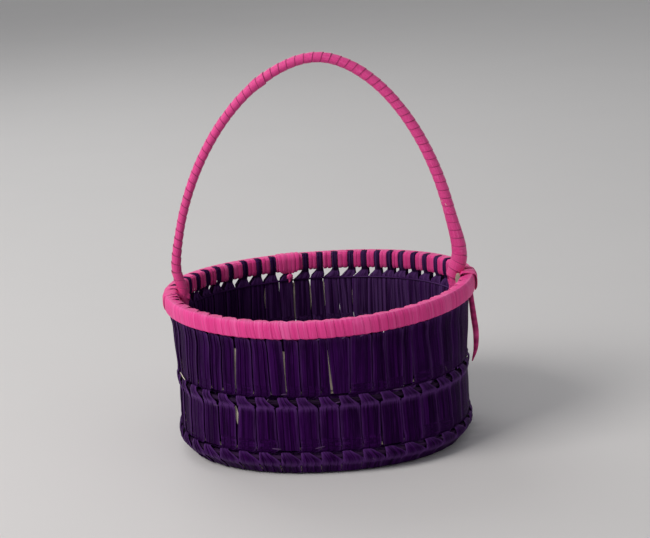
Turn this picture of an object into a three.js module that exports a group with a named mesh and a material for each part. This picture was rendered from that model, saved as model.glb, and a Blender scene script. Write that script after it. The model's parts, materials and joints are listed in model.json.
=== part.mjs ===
// Oval palm-leaf basket: leaf strips sewn in long stitches over hoops, a bound rim and a bound arched handle.
// Millimetres, +Z up. The origin is the middle of the underside.
// The long axis lies along X and the front faces -Y.
import * as THREE from 'three';

// Oval of the rim's middle surface, as full length and depth
const RIM_LENGTH = 186;
const RIM_DEPTH = 154;

// How far the wall stands in from the rim at each level, at its ends and at its front and back
const WALL_TOP_INSET = 2.3;
const MID_END_INSET = 4.4;
const MID_FRONT_INSET = 5.5;
const BASE_END_INSET = 3.6;
const BASE_FRONT_INSET = 4.8;
const FOOT_END_INSET = 7.6;
const FOOT_FRONT_INSET = 7.6;

// How much fuller than an oval the wall's corners are at each level
const MID_FULLNESS = 0.045;
const BASE_FULLNESS = 0.055;
const FOOT_FULLNESS = 0.03;

// Heights above the table
const RIM_TOP = 100.2;
const RIM_HEIGHT = 11.2;
const NECK_HEIGHT = 3.2;
const SHOULDER_HEIGHT = 5.4;
const MID_HOOP_Z = 46.4;
const BASE_HOOP_Z = 11.6;
const RIM_LIFT = 1.5;
const RIM_TILT = 1.6;

// Numbers of stitches
const UPPER_STITCHES = 52;
const LOWER_STITCHES = 42;
const UPPER_STRIPS = 13;
const LOWER_STRIPS = 10;
const BASE_STRIPS = 10;
const BINDING_STRIPS = 5;
const TURNS_PER_STITCH = 2;

// Leaf strips
const LEAF = 0.7;
const SEAT = 0.45;
const SLIT = 0.9;
const UPPER_NECK = 3.7;
const LOWER_NECK = 4.4;
const TAB_FOOT = 7.6;
const TAB_SKEW = 1.6;
const NECK_LEAN = 2.2;
const BINDING_SLANT = 0.4;

// Hoops
const HIDDEN_ROD = 1.2;
const HOOP_ROD = 1.6;
const FOOT_ROD = 1.9;
const RIM_HOOP_THICK = 3.8;
const OUTER_HOOP_THICK = 1.5;
const STRAND = 1.2;
const INNER_HOOP_MID = -1.8;
const HOOP_OUT = 0.9;
const WALL_STEPS = 50;

// Handle
const HANDLE_TOP = 244.6;
const HANDLE_SPRING_Z = 102.2;
const HANDLE_MIDDLE = 6.9;
const HANDLE_LEAN = -2.3;
const LEFT_OVERHANG = 2.5;
const LEFT_ARCH_POWER = 1.78;
const RIGHT_INSET = 11.8;
const RIGHT_ARCH_POWER = 1.86;
const HANDLE_THIN = 5.4;
const HANDLE_THICK = 8.2;
const HANDLE_WRAPS = 3;
const TURNS_PER_WRAP = 24;
const WRAP_LEAF = 0.7;
const WRAP_SLIT = 1.2;

// Lashings, patch, packing and stakes
const LASH_WIDTH = 3.2;
const LASH_LEAF = 0.8;
const TAIL_LENGTH = 40;
const TAIL_ROLL = 1.7;
const PATCH_WIDTH = 15;
const PATCH_STITCH = 15;
const KNOT_DROP = 6.5;
const PACKING_WIDTH = 1.6;
const PACKING_THICK = 2.6;
const STAKE_WIDTH = 5;
const STAKE_THICK = 1.1;
const STAKE_GAPS = [14, 33, 36, 38.7];

// Base
const RING_LENGTH = 72;
const RING_DEPTH = 36;
const RING_ROD = 0.9;
const CENTRE_THICK = 3.4;
const SOLE_FLAT = 0.4;

const LEAF_PURPLE = { color: 0x2a1048, roughness: 0.5, metalness: 0 };
const HOOP_PURPLE = { color: 0x4b3567, roughness: 0.6, metalness: 0 };
const LEAF_PINK = { color: 0xd93a7c, roughness: 0.45, metalness: 0 };
const LEAF_NATURAL = { color: 0xb9a98c, roughness: 0.65, metalness: 0 };

// Levels that follow from the heights and the leaf
const RIM_BOTTOM = RIM_TOP - RIM_HEIGHT;
const HOOP_TOP = RIM_TOP - LEAF - SEAT;
const HOOP_BOTTOM = RIM_BOTTOM + LEAF + SEAT;
const NECK_Z = RIM_BOTTOM - NECK_HEIGHT;
const SHOULDER_Z = NECK_Z - SHOULDER_HEIGHT;
const LEG = HIDDEN_ROD + SEAT;
const ROD_PASS = HOOP_ROD + SEAT;
const LOOP_DROP = HIDDEN_ROD + 2 * SEAT + LEAF;
const FOOT_PASS = FOOT_ROD + SEAT;
const FOOT_HOOP_Z = LEAF + FOOT_PASS;
const RING_FOLD = RING_ROD + SEAT;
const UPPER_ROD_Z = MID_HOOP_Z + ROD_PASS + LEAF + SEAT + LOOP_DROP;
const LOWER_ROD_Z = BASE_HOOP_Z + ROD_PASS + SEAT + LOOP_DROP;
const BASE_FOLD_Z = BASE_HOOP_Z - ROD_PASS - SEAT;

// Where a strip turns the corner over a hoop, and where it turns under the foot
const CROWN = ROD_PASS * Math.SQRT1_2;
const FOOT_HALF = FOOT_ROD * 0.7;
const ROD_HALF = HIDDEN_ROD * 0.7;

// Depths through the rim, measured outward from its middle surface
const RIM_INSIDE = INNER_HOOP_MID - RIM_HOOP_THICK / 2 - SEAT;
const STITCH_PASS = INNER_HOOP_MID + RIM_HOOP_THICK / 2 + SEAT;
const OUTER_HOOP_MID = STITCH_PASS + LEAF + SEAT + OUTER_HOOP_THICK / 2;
const RIM_OUTSIDE = OUTER_HOOP_MID + OUTER_HOOP_THICK / 2 + SEAT;
const BINDING_PASS = OUTER_HOOP_MID - OUTER_HOOP_THICK / 2 - SEAT / 3;

// Levels of the wall from the table up: height, inset at the ends, inset at the front, fullness
const LEVELS = [
  [FOOT_HOOP_Z, FOOT_END_INSET, FOOT_FRONT_INSET, FOOT_FULLNESS],
  [BASE_FOLD_Z, BASE_END_INSET, BASE_FRONT_INSET, BASE_FULLNESS],
  [MID_HOOP_Z, MID_END_INSET, MID_FRONT_INSET, MID_FULLNESS],
  [SHOULDER_Z, WALL_TOP_INSET, WALL_TOP_INSET, 0],
  [RIM_BOTTOM, 0, 0, 0],
].map(([z, end, front, fullness]) => [z, RIM_LENGTH / 2 - end, RIM_DEPTH / 2 - front, fullness]);
const RING_OVAL = [RING_LENGTH / 2, RING_DEPTH / 2, 0];

const group = new THREE.Group();

function addPiece(name, geometry, look) {
  const mesh = new THREE.Mesh(geometry, new THREE.MeshStandardMaterial(look));
  mesh.name = name;
  group.add(mesh);
}

// Angles that split the rim's oval into equal lengths
const ARC_STEPS = 720;
const arcs = [0];
for (let i = 1; i <= ARC_STEPS; i += 1) {
  const mid = ((i - 0.5) / ARC_STEPS) * 2 * Math.PI;
  const speed = Math.hypot(RIM_LENGTH * Math.sin(mid), RIM_DEPTH * Math.cos(mid)) / 2;
  arcs.push(arcs[i - 1] + (speed * 2 * Math.PI) / ARC_STEPS);
}
const RIM_AROUND = arcs[ARC_STEPS];

// The angle at a share of the way round, counted from +X towards +Y
function angleAt(share) {
  const turns = Math.floor(share);
  const length = (share - turns) * RIM_AROUND;
  let step = arcs.findIndex((arc) => arc > length);
  step = step < 1 ? ARC_STEPS : step;
  const part = (length - arcs[step - 1]) / (arcs[step] - arcs[step - 1]);
  return (turns + (step - 1 + part) / ARC_STEPS) * 2 * Math.PI;
}

// Half length, half depth and fullness of the wall's middle surface at a height
function ovalAt(z) {
  const upper = LEVELS.findIndex((level) => level[0] >= z);
  if (upper === 0) return LEVELS[0].slice(1);
  if (upper < 0) return LEVELS[LEVELS.length - 1].slice(1);
  const [below, above] = [LEVELS[upper - 1], LEVELS[upper]];
  const part = (z - below[0]) / (above[0] - below[0]);
  return [1, 2, 3].map((axis) => below[axis] + (above[axis] - below[axis]) * part);
}

// A place on an oval with its outward and sideways directions.
// The ends of the rim stand a little high, the right one more than the left.
function ovalPlace(share, [halfLength, halfDepth, fullness], outward, z) {
  const angle = angleAt(share);
  const [c, s] = [Math.cos(angle), Math.sin(angle)];
  const swell = 1 + fullness * Math.sin(2 * angle) ** 2;
  const growth = 2 * fullness * Math.sin(4 * angle);
  const [across, along] = [c * swell + s * growth, s * swell - c * growth];
  const normal = new THREE.Vector3(halfDepth * across, halfLength * along, 0).normalize();
  const side = new THREE.Vector3(-normal.y, normal.x, 0);
  const lift = RIM_LIFT * Math.cos(2 * angle) + RIM_TILT * c;
  const at = new THREE.Vector3(halfLength * c * swell, halfDepth * s * swell, z);
  at.z += lift * (Math.max(z - FOOT_HOOP_Z, 0) / RIM_TOP) ** 2;
  return { at: at.addScaledVector(normal, outward), normal, side };
}

function wallPlace(share, outward, z) {
  return ovalPlace(share, ovalAt(z), outward, z);
}

// Length between neighbouring stitches at a place
function pitchAt(share, count, outward, z) {
  const here = wallPlace(share - 0.5 / count, outward, z).at;
  return here.distanceTo(wallPlace(share + 0.5 / count, outward, z).at);
}

// A closed body from rings of corners, either capped at both ends or joined into a hoop.
// Each four-cornered face is split along its shorter diagonal.
function bodyFromRings(rings, joined) {
  const sides = rings[0].length;
  const corners = rings.flat();
  const positions = corners.flatMap((corner) => [corner.x, corner.y, corner.z]);
  const index = [];
  const steps = joined ? rings.length : rings.length - 1;
  for (let i = 0; i < steps; i += 1) {
    const next = (i + 1) % rings.length;
    for (let k = 0; k < sides; k += 1) {
      const m = (k + 1) % sides;
      const [a, b, c, d] = [i * sides + k, i * sides + m, next * sides + m, next * sides + k];
      const straight = corners[a].distanceTo(corners[c]) < corners[b].distanceTo(corners[d]);
      index.push(...(straight ? [a, b, c, a, c, d] : [a, b, d, b, c, d]));
    }
  }
  const last = (rings.length - 1) * sides;
  for (let k = 1; k < sides - 1 && !joined; k += 1) {
    index.push(0, k + 1, k);
    index.push(last, last + k, last + k + 1);
  }
  return facingOut(positions, index);
}

// Faces are turned so that the body's volume is positive
function facingOut(positions, index) {
  const corner = (i) => new THREE.Vector3().fromArray(positions, 3 * i);
  let volume = 0;
  for (let i = 0; i < index.length; i += 3) {
    volume += corner(index[i]).dot(corner(index[i + 1]).cross(corner(index[i + 2])));
  }
  const geometry = new THREE.BufferGeometry();
  geometry.setAttribute('position', new THREE.Float32BufferAttribute(positions, 3));
  geometry.setIndex(volume < 0 ? [...index].reverse() : index);
  return geometry;
}

// A leaf strip: flat towards what it wraps, ridged along its outer face
function leafStrip(stations) {
  const rings = stations.map(({ at, side, out, width, rise }) => [
    at.clone().addScaledVector(side, -width / 2),
    at.clone().addScaledVector(side, width / 2),
    at.clone().addScaledVector(out, rise),
  ]);
  return bodyFromRings(rings, false);
}

// A leaf strip that is flat on both faces with bevelled edges, for what stands on the table
function flatStrip(stations) {
  const rings = stations.map(({ at, side, out, width, rise }) => {
    const outer = at.clone().addScaledVector(out, rise);
    return [
      at.clone().addScaledVector(side, -width / 2),
      at.clone().addScaledVector(side, width / 2),
      outer.clone().addScaledVector(side, (SOLE_FLAT * width) / 2),
      outer.clone().addScaledVector(side, (-SOLE_FLAT * width) / 2),
    ];
  });
  return bodyFromRings(rings, false);
}

// One station of a strip on the wall; outR and outZ point away from what the strip wraps
function station(share, outward, z, outR, outZ, width, rise = LEAF) {
  const { at, normal, side } = wallPlace(share, outward, z);
  const out = normal.clone().multiplyScalar(outR).add(new THREE.Vector3(0, 0, outZ)).normalize();
  return { at, side, out, width, rise };
}

// A hoop of flat-sided section that follows the wall
function hoop(outward, z, halfThick, halfTall, sides, steps) {
  const turn = sides === 4 ? Math.PI / 4 : 0;
  const reach = sides === 4 ? Math.SQRT2 : 1;
  const rings = [];
  for (let i = 0; i < steps; i += 1) {
    const ring = [];
    for (let k = 0; k < sides; k += 1) {
      const angle = turn + (k / sides) * 2 * Math.PI;
      const { at, normal } = wallPlace(i / steps, outward, z);
      at.addScaledVector(normal, reach * halfThick * Math.cos(angle));
      at.z += reach * halfTall * Math.sin(angle);
      ring.push(at);
    }
    rings.push(ring);
  }
  return bodyFromRings(rings, true);
}

// Upper stitches: a neck over the rim's inner hoop, a full-width fold under the hidden rod
function upperStitch(index) {
  const bar = index / UPPER_STITCHES;
  const band = bar + NECK_LEAN / RIM_AROUND;
  const next = band + 1 / UPPER_STITCHES;
  const full = (share, outward, z) => pitchAt(share, UPPER_STITCHES, outward, z) - SLIT;
  return [
    station(band, LEG, UPPER_ROD_Z - SEAT, 1, 0, full(band, LEG, UPPER_ROD_Z)),
    station(band, LEG, SHOULDER_Z, 1, 0, full(band, LEG, SHOULDER_Z)),
    station(bar, LEG / 2, NECK_Z, 1, 0, UPPER_NECK),
    station(bar, STITCH_PASS, HOOP_TOP + SEAT, 1, 1, UPPER_NECK),
    station(bar, RIM_INSIDE, HOOP_TOP + SEAT, -1, 1, UPPER_NECK),
    station(bar, RIM_INSIDE, HOOP_BOTTOM, -1, 0, UPPER_NECK),
    station(bar, -LEG, NECK_Z, -1, 0, UPPER_NECK),
    station(band, -LEG, SHOULDER_Z, -1, 0, full(band, -LEG - LEAF, SHOULDER_Z)),
    station(band, -LEG, UPPER_ROD_Z - SEAT, -1, 0, full(band, -LEG - LEAF, UPPER_ROD_Z)),
    station((band + next) / 2, 0, UPPER_ROD_Z - LOOP_DROP + LEAF, 0, -1, full(band, -LEG, UPPER_ROD_Z)),
  ];
}

// Lower stitches: a neck over the middle hoop, a full-width fold under its own hidden rod
function lowerStitch(index) {
  const tab = (index + 0.5) / LOWER_STITCHES;
  const band = tab + NECK_LEAN / RIM_AROUND;
  const tabFoot = tab + TAB_SKEW / RIM_AROUND;
  const next = band + 1 / LOWER_STITCHES;
  const foldZ = MID_HOOP_Z - ROD_PASS - SEAT;
  const crownZ = MID_HOOP_Z + ROD_PASS;
  const full = (share, outward, z) => pitchAt(share, LOWER_STITCHES, outward, z) - SLIT;
  return [
    station(band, LEG, LOWER_ROD_Z - SEAT, 1, 0, full(band, LEG, LOWER_ROD_Z)),
    station(band, LEG, foldZ - NECK_HEIGHT, 1, 0, full(band, LEG, foldZ)),
    station(tabFoot, HOOP_OUT + ROD_PASS + SEAT, foldZ + LEAF, 1, 0, TAB_FOOT),
    station(tab, HOOP_OUT + CROWN, crownZ, 1, 1, LOWER_NECK),
    station(tab, HOOP_OUT - CROWN, crownZ, -1, 1, LOWER_NECK),
    station(tab, HOOP_OUT - ROD_PASS - SEAT, foldZ + LEAF, -1, 0, LOWER_NECK),
    station(band, -LEG, foldZ - NECK_HEIGHT, -1, 0, full(band, -LEG - LEAF, foldZ)),
    station(band, -LEG, LOWER_ROD_Z - SEAT, -1, 0, full(band, -LEG - LEAF, LOWER_ROD_Z)),
    station((band + next) / 2, 0, LOWER_ROD_Z - LOOP_DROP + LEAF, 0, -1, full(band, -LEG, LOWER_ROD_Z)),
  ];
}

// A station on the oval ring at the middle of the floor; outR and outZ point away from the ring
function ringStation(share, outward, z, outR, outZ) {
  const place = (s) => ovalPlace(s, RING_OVAL, outward, z);
  const { at, normal, side } = place(share);
  const half = 0.5 / LOWER_STITCHES;
  const width = place(share - half).at.distanceTo(place(share + half).at) - SLIT / 2;
  const out = normal.multiplyScalar(outR);
  out.z = outZ;
  return { at, side, out, width, rise: LEAF };
}

// Base stitches: from the ring across the floor, up over the base hoop, down round the foot and back below
function baseStitch(index) {
  const tab = (index + 0.5) / LOWER_STITCHES;
  const band = tab + NECK_LEAN / RIM_AROUND;
  const tabFoot = tab + TAB_SKEW / RIM_AROUND;
  const crownZ = BASE_HOOP_Z + ROD_PASS;
  const full = (outward, z) => pitchAt(band, LOWER_STITCHES, outward, z) - SLIT;
  return [
    ringStation(band, -RING_ROD, LEAF + RING_FOLD, -1, 0),
    ringStation(band, SEAT, LEAF + 2 * RING_FOLD, 0, 1),
    station(band, -FOOT_PASS, FOOT_HOOP_Z + FOOT_PASS, -0.3, 1, full(-FOOT_PASS - LEAF, FOOT_HOOP_Z)),
    station(tab, HOOP_OUT - ROD_PASS - SEAT, BASE_FOLD_Z + LEAF, -1, 0, LOWER_NECK),
    station(tab, HOOP_OUT - CROWN, crownZ, -1, 1, LOWER_NECK),
    station(tab, HOOP_OUT + CROWN, crownZ, 1, 1, LOWER_NECK),
    station(tabFoot, HOOP_OUT + ROD_PASS + SEAT, BASE_FOLD_Z + LEAF, 1, 0, TAB_FOOT),
    station(band, FOOT_PASS, BASE_FOLD_Z - NECK_HEIGHT / 2, 1, 0, full(FOOT_PASS, BASE_FOLD_Z)),
    station(band, FOOT_PASS, FOOT_HOOP_Z - FOOT_HALF, 1, -0.3, full(0, FOOT_HOOP_Z)),
    station(band, FOOT_HALF / 2, LEAF, 0, -1, full(-FOOT_ROD, FOOT_HOOP_Z)),
    ringStation(band, SEAT, LEAF, 0, -1),
  ];
}

// Where a turn of the binding lies between two necks, as a share of the way round
const BINDING_ROOM = RIM_AROUND / UPPER_STITCHES - UPPER_NECK - 2 * SEAT;
function bindingShare(turn) {
  const gap = Math.floor(turn / TURNS_PER_STITCH);
  const spread = ((turn % TURNS_PER_STITCH) + 0.5) / TURNS_PER_STITCH - 0.5;
  return (gap + 0.5) / UPPER_STITCHES + (spread * BINDING_ROOM) / RIM_AROUND;
}

// Rim binding: each turn wraps both rim hoops, narrow between the necks and wide along the outer face
function bindingTurn(turn) {
  const narrow = BINDING_ROOM / TURNS_PER_STITCH - SEAT * 1.5;
  const wide = RIM_AROUND / UPPER_STITCHES / TURNS_PER_STITCH - SEAT;
  const outer = (turn / TURNS_PER_STITCH + 0.5) / UPPER_STITCHES;
  const slant = BINDING_SLANT / RIM_AROUND;
  const here = bindingShare(turn);
  const next = bindingShare(turn + 1);
  return [
    station(here, RIM_INSIDE, HOOP_BOTTOM - SEAT, -1, -1, narrow),
    station(here, RIM_INSIDE, HOOP_TOP + SEAT, -1, 1, narrow),
    station(here, BINDING_PASS, HOOP_TOP + SEAT, 0, 1, narrow),
    station(outer - slant, RIM_OUTSIDE, HOOP_TOP - SEAT / 2, 1, 0.6, wide),
    station(outer + slant, RIM_OUTSIDE, HOOP_BOTTOM + SEAT / 2, 1, -0.6, wide),
    station(next, BINDING_PASS, HOOP_BOTTOM - SEAT, 0, -1, narrow),
  ];
}

// The least gap between neighbouring turns of one strip, on its edge points
const leastGaps = {};
function measureGap(name, stations, perTurn) {
  const family = name.replace(/_[0-9]+$/, '');
  const edge = ({ at, side, width }, way) => at.clone().addScaledVector(side, (way * width) / 2);
  for (let i = 0; i + perTurn < stations.length; i += 1) {
    const ways = [1, -1].map((way) => edge(stations[i], way).distanceTo(edge(stations[i + perTurn], -way)));
    leastGaps[family] = Math.min(leastGaps[family] ?? Infinity, ...ways);
  }
}

// Copies of a stitch shared out over strips of leaf
function sewnStrips(prefix, strips, stitches, stitchStations, look, section = leafStrip) {
  for (let strip = 0; strip < strips; strip += 1) {
    const first = Math.round((strip * stitches) / strips);
    const end = Math.round(((strip + 1) * stitches) / strips);
    const stations = [];
    for (let index = first; index < end; index += 1) stations.push(...stitchStations(index));
    const number = String(strip + 1).padStart(2, '0');
    measureGap(`${prefix}_${number}`, stations, stations.length / (end - first));
    addPiece(`${prefix}_${number}`, section(stations), look);
  }
}

// Hoops of the rim, the wall and the foot
function addHoops() {
  const hoopMid = (HOOP_TOP + HOOP_BOTTOM) / 2;
  const halfTall = (HOOP_TOP - HOOP_BOTTOM) / 2;
  const outerTall = halfTall - SEAT;
  const strandOut = -(LEG + LEAF + SEAT + STRAND / 2);
  const strandZ = SHOULDER_Z + SHOULDER_HEIGHT / 2;
  const rimHoop = (mid, thick, tall) => hoop(mid, hoopMid, thick / 2, tall, 4, UPPER_STITCHES);
  const squareRod = (z, half) => hoop(0, z, half, half, 4, WALL_STEPS);
  const roundRod = (z) => hoop(HOOP_OUT, z, HOOP_ROD, HOOP_ROD, 5, WALL_STEPS);
  addPiece('rim_inner_hoop', rimHoop(INNER_HOOP_MID, RIM_HOOP_THICK, halfTall), LEAF_NATURAL);
  addPiece('rim_outer_hoop', rimHoop(OUTER_HOOP_MID, OUTER_HOOP_THICK, outerTall), LEAF_NATURAL);
  addPiece('upper_fold_rod', squareRod(UPPER_ROD_Z, ROD_HALF), LEAF_NATURAL);
  addPiece('lower_fold_rod', squareRod(LOWER_ROD_Z, ROD_HALF), LEAF_NATURAL);
  addPiece('foot_hoop', squareRod(FOOT_HOOP_Z, FOOT_HALF), LEAF_NATURAL);
  addPiece('middle_hoop', roundRod(MID_HOOP_Z), HOOP_PURPLE);
  addPiece('base_hoop', roundRod(BASE_HOOP_Z), HOOP_PURPLE);
  addPiece('neck_strand', hoop(strandOut, strandZ, STRAND / 2, STRAND / 2, 3, WALL_STEPS), LEAF_PURPLE);
}

// The ring that the floor's strips turn round, and the stiff centre that it frames
function addFloorCentre() {
  const steps = 36;
  const sides = 4;
  const ringZ = LEAF + RING_FOLD;
  const rings = [];
  for (let i = 0; i < steps; i += 1) {
    const ring = [];
    for (let k = 0; k < sides; k += 1) {
      const angle = (k / sides) * 2 * Math.PI;
      const outward = SEAT + RING_ROD * Math.cos(angle);
      const z = ringZ + RING_ROD * Math.sin(angle);
      ring.push(ovalPlace(i / steps, RING_OVAL, outward, z).at);
    }
    rings.push(ring);
  }
  addPiece('floor_ring', bodyFromRings(rings, true), LEAF_NATURAL);

  const edge = RING_ROD + LEAF + SEAT;
  const halfLength = RING_LENGTH / 2 - edge;
  const profile = [[0, 0], [halfLength, 0], [halfLength, CENTRE_THICK * 0.7]];
  profile.push([halfLength * 0.8, CENTRE_THICK], [halfLength * 0.4, CENTRE_THICK * 0.8], [0, CENTRE_THICK]);
  const centre = new THREE.LatheGeometry(profile.map(([x, y]) => new THREE.Vector2(x, y)), 28);
  centre.rotateX(Math.PI / 2);
  centre.scale(1, (RING_DEPTH / 2 - edge) / halfLength, 1);
  addPiece('floor_centre', centre, LEAF_PURPLE);
}

// Upright natural splints between the two layers of the upper wall, seen in the slits
function addStakes() {
  const low = UPPER_ROD_Z + HIDDEN_ROD + SEAT;
  const outward = LEG - SEAT - STAKE_THICK / 2;
  STAKE_GAPS.forEach((gap, number) => {
    const share = (gap + 0.5) / UPPER_STITCHES + NECK_LEAN / RIM_AROUND;
    const rings = [low, SHOULDER_Z].map((z) => slabRing(share, outward, z, STAKE_THICK, STAKE_WIDTH));
    addPiece(`wall_stake_${number + 1}`, bodyFromRings(rings, false), LEAF_NATURAL);
  });
}

// Four corners of a flat upright piece at one height
function slabRing(share, outward, z, thick, width) {
  const { at, normal, side } = wallPlace(share, outward, z);
  const through = normal.multiplyScalar(thick / 2);
  const along = side.multiplyScalar(width / 2);
  const corners = [[-1, -1], [1, -1], [1, 1], [-1, 1]];
  return corners.map(([r, v]) => at.clone().addScaledVector(through, r).addScaledVector(along, v));
}

// Handle: upright feet inside the rim, then an arch that is fuller on the left than on the right
const LEG_FACE = RIM_INSIDE - LEAF - SEAT;
const LEFT_FOOT_X = -(RIM_LENGTH / 2 + LEG_FACE - HANDLE_THIN / 2);
const RIGHT_FOOT_X = RIM_LENGTH / 2 + LEG_FACE - HANDLE_THICK / 2;

function handleCurve() {
  const rise = HANDLE_TOP - (HANDLE_THIN + HANDLE_THICK) / 4 - HANDLE_SPRING_Z;
  const archSteps = 16;
  const left = [-(RIM_LENGTH / 2 + LEFT_OVERHANG), LEFT_ARCH_POWER];
  const right = [RIM_LENGTH / 2 - RIGHT_INSET, RIGHT_ARCH_POWER];
  const foot = (x) => [RIM_BOTTOM, RIM_TOP - LEAF].map((z) => new THREE.Vector3(x, 0, z));
  const points = foot(LEFT_FOOT_X);
  for (let i = 0.5; i < archSteps; i += 1) {
    const angle = Math.PI * (1 - i / archSteps);
    const [reach, power] = Math.cos(angle) < 0 ? left : right;
    const up = Math.sin(angle) ** (2 / power);
    const x = HANDLE_MIDDLE + HANDLE_LEAN * up + reach * Math.abs(Math.cos(angle)) ** (2 / power);
    points.push(new THREE.Vector3(x, 0, HANDLE_SPRING_Z + rise * up));
  }
  points.push(...foot(RIGHT_FOOT_X).reverse());
  return new THREE.CatmullRomCurve3(points, false, 'centripetal');
}

// A place on the handle: its middle, the way along it and a way out of it
function handlePlace(curve, share, angle) {
  const at = curve.getPointAt(share);
  const along = curve.getTangentAt(share);
  const across = new THREE.Vector3(-along.z, 0, along.x);
  const out = across.multiplyScalar(Math.cos(angle)).add(new THREE.Vector3(0, Math.sin(angle), 0));
  return { at, along, out };
}

function handleRadius(share) {
  return (HANDLE_THIN + (HANDLE_THICK - HANDLE_THIN) * share) / 2 - WRAP_LEAF;
}

function addHandle() {
  const curve = handleCurve();
  const perTurn = 6;
  const turns = HANDLE_WRAPS * TURNS_PER_WRAP;
  const pitch = curve.getLength() / turns;
  const flat = Math.cos(Math.PI / perTurn);
  const coreSides = 6;
  const coreSteps = 38;
  const coreRings = [];
  for (let i = 0; i <= coreSteps; i += 1) {
    const share = i / coreSteps;
    const radius = handleRadius(share) * flat - SEAT;
    const corners = [...Array(coreSides).keys()].map((k) => {
      const { at, out } = handlePlace(curve, share, (k / coreSides) * 2 * Math.PI);
      return at.addScaledVector(out, radius);
    });
    coreRings.push(corners);
  }
  addPiece('handle_core', bodyFromRings(coreRings, false), LEAF_NATURAL);

  for (let wrap = 0; wrap < HANDLE_WRAPS; wrap += 1) {
    const stations = [];
    const first = wrap * TURNS_PER_WRAP * perTurn;
    for (let i = 1; i < TURNS_PER_WRAP * perTurn; i += 1) {
      const share = (first + i) / (turns * perTurn);
      const { at, along, out } = handlePlace(curve, share, (i / perTurn) * 2 * Math.PI);
      at.addScaledVector(out, handleRadius(share));
      stations.push({ at, side: along, out, width: pitch - WRAP_SLIT, rise: WRAP_LEAF });
    }
    measureGap('handle_wrap', stations, perTurn);
    addPiece(`handle_wrap_${wrap + 1}`, leafStrip(stations), LEAF_PINK);
  }
}

// Lashings: a strip crosses over the rim on both sides of the leg and in an X round the leg's inner face
function lashStations(end, legRadius, sideRoom) {
  const outside = RIM_OUTSIDE + LEAF + SEAT;
  const legMid = LEG_FACE - legRadius;
  const front = legMid - legRadius - 1.5 * SEAT;
  const secondFront = front - LASH_LEAF - SEAT;
  const top = RIM_TOP + SEAT;
  const bottom = RIM_BOTTOM - SEAT;
  const high = RIM_TOP - RIM_HEIGHT * 0.35;
  const low = RIM_BOTTOM + RIM_HEIGHT * 0.3;
  const crossHigh = RIM_BOTTOM + RIM_HEIGHT * 0.6;
  const crossLow = RIM_BOTTOM + RIM_HEIGHT * 0.4;
  const gapWay = RIM_AROUND / UPPER_STITCHES / 2;
  const topWay = legRadius + sideRoom + SEAT + LASH_WIDTH / 2;
  const sideWay = legRadius + sideRoom + 3 * SEAT;
  const frontWay = legRadius * 0.55;
  const crossing = (way, reach) => [
    [way * gapWay, outside, bottom, [1, 0, -1]],
    [way * topWay, outside, top, [1, 0, 1]],
    [way * topWay, LEG_FACE, top, [-1, 0, 1]],
    [way * sideWay, legMid, high, [0, way, 0]],
    [way * frontWay, reach, crossHigh, [-1, 0, 0]],
    [-way * frontWay, reach, crossLow, [-1, 0, 0]],
    [-way * sideWay, legMid, low, [0, -way, 0]],
    [-way * gapWay, LEG_FACE, bottom, [-1, 0, -1]],
  ];
  return [...crossing(-1, front), ...crossing(1, secondFront)].map(([way, outward, z, out]) => {
    const { at, normal, side } = wallPlace(end + way / RIM_AROUND, outward, z);
    const away = normal.multiplyScalar(out[0]).addScaledVector(side, out[1]);
    away.z = out[2];
    return { at, out: away.normalize(), width: LASH_WIDTH, rise: LASH_LEAF };
  });
}

// Each station's sideways and outward directions are made square to the strip's run
function layStrip(stations) {
  return stations.map((here, i) => {
    const before = stations[Math.max(i - 1, 0)].at;
    const after = stations[Math.min(i + 1, stations.length - 1)].at;
    const run = after.clone().sub(before).normalize();
    const side = run.clone().cross(here.out).normalize();
    return { ...here, side, out: side.clone().cross(run) };
  });
}

// The loose end of the right lashing hangs outside the wall, rolled to a point
function tailStations() {
  const share = -0.5 / UPPER_STITCHES;
  const top = RIM_BOTTOM - SEAT;
  const outside = RIM_OUTSIDE + LEAF + SEAT;
  // Each line is a share of the tail's length, its ways out and forward from the rim, and the roll's fullness
  const shape = [
    [1, -1.6, 2.4, 0.35],
    [0.86, -0.4, 2.0, 0.6],
    [0.62, 0.2, 1.2, 1],
    [0.42, 0.1, 0.6, 1],
    [0.16, 0, 0.2, 0.9],
  ];
  return shape.map(([part, away, forward, fullness]) => {
    const { at, normal, side } = wallPlace(share, outside + away, top);
    at.addScaledVector(side, -forward).z -= TAIL_LENGTH * part;
    return { at, out: normal, width: 2 * TAIL_ROLL * fullness, rise: TAIL_ROLL * fullness };
  });
}

function addLashings() {
  const packingRoom = PACKING_WIDTH + SEAT;
  const right = lashStations(0, HANDLE_THICK / 2, packingRoom);
  addPiece('lashing_left', leafStrip(layStrip(lashStations(0.5, HANDLE_THIN / 2, 0))), LEAF_PINK);
  addPiece('lashing_right', leafStrip(layStrip([...tailStations(), ...right])), LEAF_PINK);

  const beside = -(HANDLE_THICK / 2 + SEAT + PACKING_WIDTH / 2) / RIM_AROUND;
  const outward = LEG_FACE - PACKING_THICK / 2;
  const ends = [RIM_BOTTOM + RIM_HEIGHT * 0.4, RIM_TOP + SEAT];
  const rings = ends.map((z) => slabRing(beside, outward, z, PACKING_THICK, PACKING_WIDTH));
  addPiece('packing_splint', bodyFromRings(rings, false), LEAF_NATURAL);
}

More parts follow.
